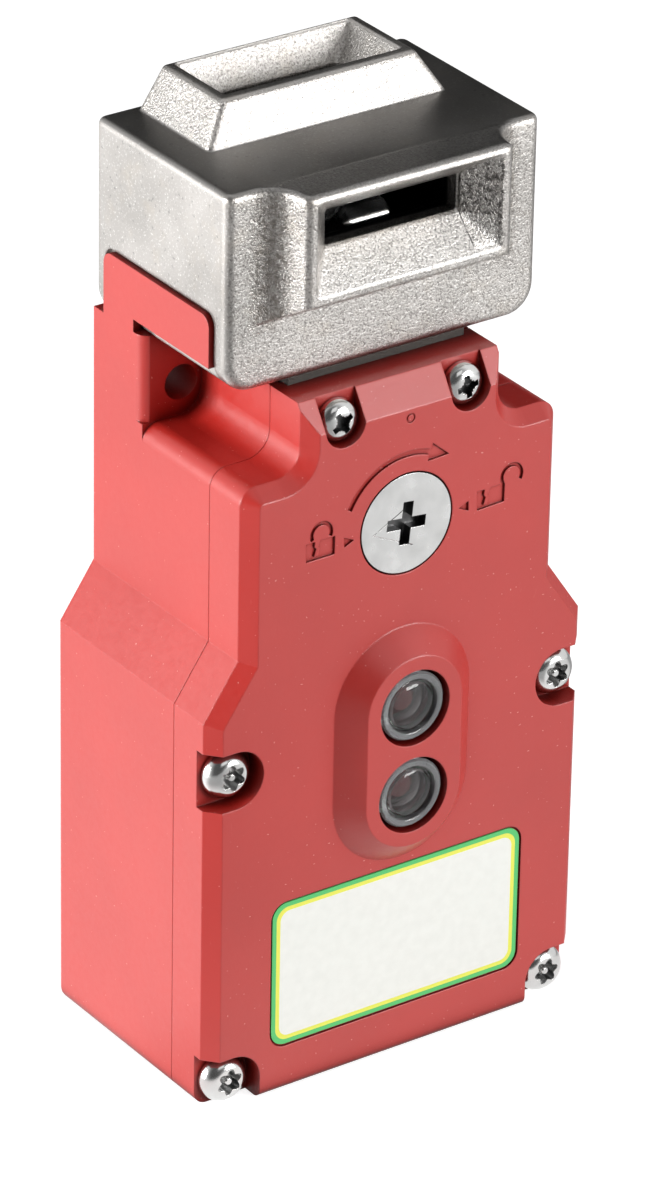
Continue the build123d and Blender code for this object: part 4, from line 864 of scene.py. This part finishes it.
def engraved_line(start, end):
    """Cutter for a thin line between two points of the front."""
    dx, dz = end[0] - start[0], end[1] - start[1]
    length = math.hypot(dx, dz)
    sx, sz = -dz / length * POINTER_HALF_WIDTH, dx / length * POINTER_HALF_WIDTH
    points = [(start[0] + sx, start[1] + sz), (end[0] + sx, end[1] + sz),
              (end[0] - sx, end[1] - sz), (start[0] - sx, start[1] - sz)]
    return prism(points, *POINTER_DEPTH)


def in_release_cross(centre):
    in_middle = math.hypot(centre.x, centre.z - RELEASE_Z) < RELEASE_ZONE
    return in_middle and within(centre.y, RELEASE_WALL_DEPTH)


def add_release():
    disc = copy_node("release_disc", "release_disc_marked")
    recess = cross(0, RELEASE_Z, *RELEASE_CROSS_ARM, math.radians(RELEASE_CROSS_TURN))
    tools = [prism(recess, *RELEASE_CROSS_DEPTH)]
    tools += [engraved_line(POINTER_TIP, end) for end in POINTER_ENDS]
    combine(disc, tools)
    keep_normals(disc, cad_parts["release_disc"].data)
    finish_piece(disc, release_metal, "release_disc", "release")
    paint_recess_shade(disc, painted_recess_shade, in_release_cross)


# Lens as (radius, depth behind its face): dome, groove, flat rim; then its flange and hollow back
LENS_FRONT = [(0, -0.34), (0.9, -0.32), (1.8, -0.24), (2.6, -0.10), (3.2, 0.12), (3.42, 0.45),
              (3.62, 0.50), (3.92, 0.08), (4.1, 0), (4.7, 0), (4.95, 0.25)]
LENS_BACK = [(2.95, 2.2), (1.6, 1.75), (0, 1.6)]
LENS_RADIUS = 4.95
LENS_FLANGE_RADIUS = 6.25
LENS_HOLLOW_RADIUS = 2.95


def add_lenses():
    near, far = LENS_FLANGE
    profile = [(radius, LENS_FACE + depth) for radius, depth in LENS_FRONT]
    profile += [(LENS_RADIUS, near), (LENS_FLANGE_RADIUS, near), (LENS_FLANGE_RADIUS, far)]
    profile += [(LENS_HOLLOW_RADIUS, far)]
    profile += [(radius, LENS_FACE + depth) for radius, depth in LENS_BACK]
    lenses = [lathe("lens", profile, (0, z), 64) for z in LENS_Z]
    finish_piece(joined("lens_pair", lenses), lens_clear, "indicator_lenses", "switch_body")


add_engraved_cover()
add_screws()
add_release()
add_lenses()


# Floor: its size in metres, its grey, and its glow to the camera and to reflections
FLOOR_SIZE = 6
FLOOR_GREY = 0.55
FLOOR_SEEN = 0.82
FLOOR_MIRRORED = 0.72
# Sides of the floor as (direction in X and Y, cosines between which the side begins)
CAMERA_SIDE = ((-0.578, -0.816), (0.36, 0.84))
RIGHT_SIDE = ((0.93, 0.37), (0.70, 0.90))
REAR_LEFT_SIDE = ((-0.578, 0.816), (0.30, 0.70))
# Distances in millimetres between which a part of the floor begins
CLEAR_OF_FOOT = (25.0, 110.0)
FAR_FLOOR = (40.0, 240.0)
# Shares by which reflections see those parts of the floor darker or paler
CAMERA_SIDE_LOSS = 0.95
RIGHT_SIDE_LOSS = 0.85
REAR_LEFT_GAIN = 0.70
FAR_LOSS = 0.41

# World: its light, its brightness in reflections, and how much darker that is toward the camera
WORLD_COLOUR = (0.86, 0.87, 0.88)
WORLD_STRENGTH = 0.24
WORLD_MIRRORED = 0.93
TOWARD_CAMERA = (-0.511, -0.722, 0.467)
DARK_COSINES = (0.30, 0.92)
DARK_SHARE = 0.84

# Card for the top faces, in metres: direction and distance from a centre, and size
CARD_DIRECTION = (0.511, 0.722, 0.467)
CARD_DISTANCE = 0.45
CARD_CENTRE = (0, 0, 0.12)
CARD_SIZE = (0.62, 0.50)

# Lamps as name, place in metres, size in metres, power in watts; all aim at one place
AIM = (0, 0, 0.06)
LAMPS = [
    ("key", (0.50, -0.93, 0.30), (0.45, 0.5), 9.2),
    ("side", (-0.97, 0.30, 0.15), (0.4, 0.6), 19.5),
    ("fill", (-0.10, -0.75, 0.80), (0.5, 0.5), 0.7),
]


def floor_side(n, x, y, reach, side):
    """1 where the floor lies on a side of the object."""
    direction, cosines = side
    along = n.math("ADD", n.math("MULTIPLY", x, direction[0]), n.math("MULTIPLY", y, direction[1]))
    # 1 mm more keeps the middle of the floor from a division by zero
    share = n.math("DIVIDE", along, n.math("ADD", reach, 1.0))
    return n.step(share, *cosines)


def floor_mirrored(n):
    """Brightness of the floor in reflections: dark at the camera's and the right side, paler at
    the rear left, and a little dimmer far away."""
    x, y, _ = n.axes()
    reach = n.length(x, y)
    camera_side = floor_side(n, x, y, reach, CAMERA_SIDE)
    camera_side = n.product(camera_side, n.step(reach, *CLEAR_OF_FOOT))
    right_side = floor_side(n, x, y, reach, RIGHT_SIDE)
    rear_left = floor_side(n, x, y, reach, REAR_LEFT_SIDE)
    darker = n.product(n.less(camera_side, CAMERA_SIDE_LOSS), n.less(right_side, RIGHT_SIDE_LOSS))
    paler = n.math("ADD", 1.0, n.math("MULTIPLY", rear_left, REAR_LEFT_GAIN))
    dimmer = n.less(n.step(reach, *FAR_FLOOR), FAR_LOSS)
    return n.product(darker, paler, dimmer, FLOOR_MIRRORED)


def add_floor():
    """Pale floor: white where nothing shades it, also to metal and glass, and it keeps the shadow."""
    bpy.ops.mesh.primitive_plane_add(size=FLOOR_SIZE, location=(0, 0, cad_box[0][2]))
    floor = bpy.context.object
    floor.name = "floor"
    n = Material("floor_white")
    n.tree.nodes.remove(n.shader)
    path = n.add("ShaderNodeLightPath")
    seen = n.largest(path.outputs["Is Camera Ray"], path.outputs["Is Transmission Ray"])
    mirrored = n.product(path.outputs["Is Glossy Ray"], floor_mirrored(n))
    diffuse = n.add("ShaderNodeBsdfDiffuse")
    n.fill(diffuse.inputs["Color"], (FLOOR_GREY, FLOOR_GREY, FLOOR_GREY))
    glow = n.add("ShaderNodeEmission")
    n.fill(glow.inputs["Color"], (1, 1, 1))
    n.fill(glow.inputs["Strength"], n.largest(n.product(seen, FLOOR_SEEN), mirrored))
    both = n.add("ShaderNodeAddShader")
    n.link(diffuse.outputs[0], both.inputs[0])
    n.link(glow.outputs[0], both.inputs[1])
    n.link(both.outputs[0], n.tree.nodes["Material Output"].inputs["Surface"])
    floor.data.materials.append(n.material)


def add_card():
    """Black card behind and above the object, seen only by reflections in its top faces."""
    direction = Vector(CARD_DIRECTION).normalized()
    bpy.ops.mesh.primitive_plane_add(size=1)
    card = bpy.context.object
    card.name = "card_above"
    card.scale = (*CARD_SIZE, 1)
    card.location = Vector(CARD_CENTRE) + direction * CARD_DISTANCE
    card.rotation_euler = direction.to_track_quat("Z", "Y").to_euler()
    n = Material("card_above_black")
    n.set(base_color=(0.012, 0.012, 0.012), roughness=0.9)
    card.data.materials.append(n.material)
    for kind in ("camera", "diffuse", "shadow", "transmission", "volume_scatter"):
        setattr(card, "visible_" + kind, False)


def add_lamp(name, place, size, power):
    light = bpy.data.lights.new(name, "AREA")
    light.shape = "RECTANGLE"
    light.size, light.size_y = size
    light.energy = power
    holder = linked_object(name, light)
    holder.location = place
    direction = Vector(AIM) - Vector(place)
    holder.rotation_euler = direction.to_track_quat("-Z", "Y").to_euler()


def add_world():
    """Even soft light, white to the camera, and darker toward it in reflections."""
    world = bpy.data.worlds.new("studio")
    bpy.context.scene.world = world
    world.use_nodes = True
    n = Nodes(world.node_tree)
    lit = n.tree.nodes["Background"]
    n.fill(lit.inputs["Color"], WORLD_COLOUR)
    n.fill(lit.inputs["Strength"], WORLD_STRENGTH)
    path = n.add("ShaderNodeLightPath")
    place = n.add("ShaderNodeTexCoord")
    toward = n.add("ShaderNodeVectorMath", operation="DOT_PRODUCT")
    toward.inputs[1].default_value = TOWARD_CAMERA
    n.link(place.outputs["Generated"], toward.inputs[0])
    shade = n.product(n.step(toward.outputs["Value"], *DARK_COSINES), DARK_SHARE)
    mirrored = n.math("SUBTRACT", WORLD_MIRRORED, shade)
    shown = n.add("ShaderNodeBackground")
    n.fill(shown.inputs["Color"], (1, 1, 1))
    n.fill(shown.inputs["Strength"], n.largest(path.outputs["Is Camera Ray"], mirrored))
    rays = [path.outputs[f"Is {kind} Ray"] for kind in ("Camera", "Glossy", "Transmission")]
    mix = n.add("ShaderNodeMixShader")
    n.fill(mix.inputs["Fac"], n.largest(*rays))
    n.link(lit.outputs[0], mix.inputs[1])
    n.link(shown.outputs[0], mix.inputs[2])
    n.link(mix.outputs[0], n.tree.nodes["World Output"].inputs["Surface"])


add_floor()
add_world()
add_card()
for lamp in LAMPS:
    add_lamp(*lamp)
bpy.context.scene.view_settings.view_transform = "Standard"
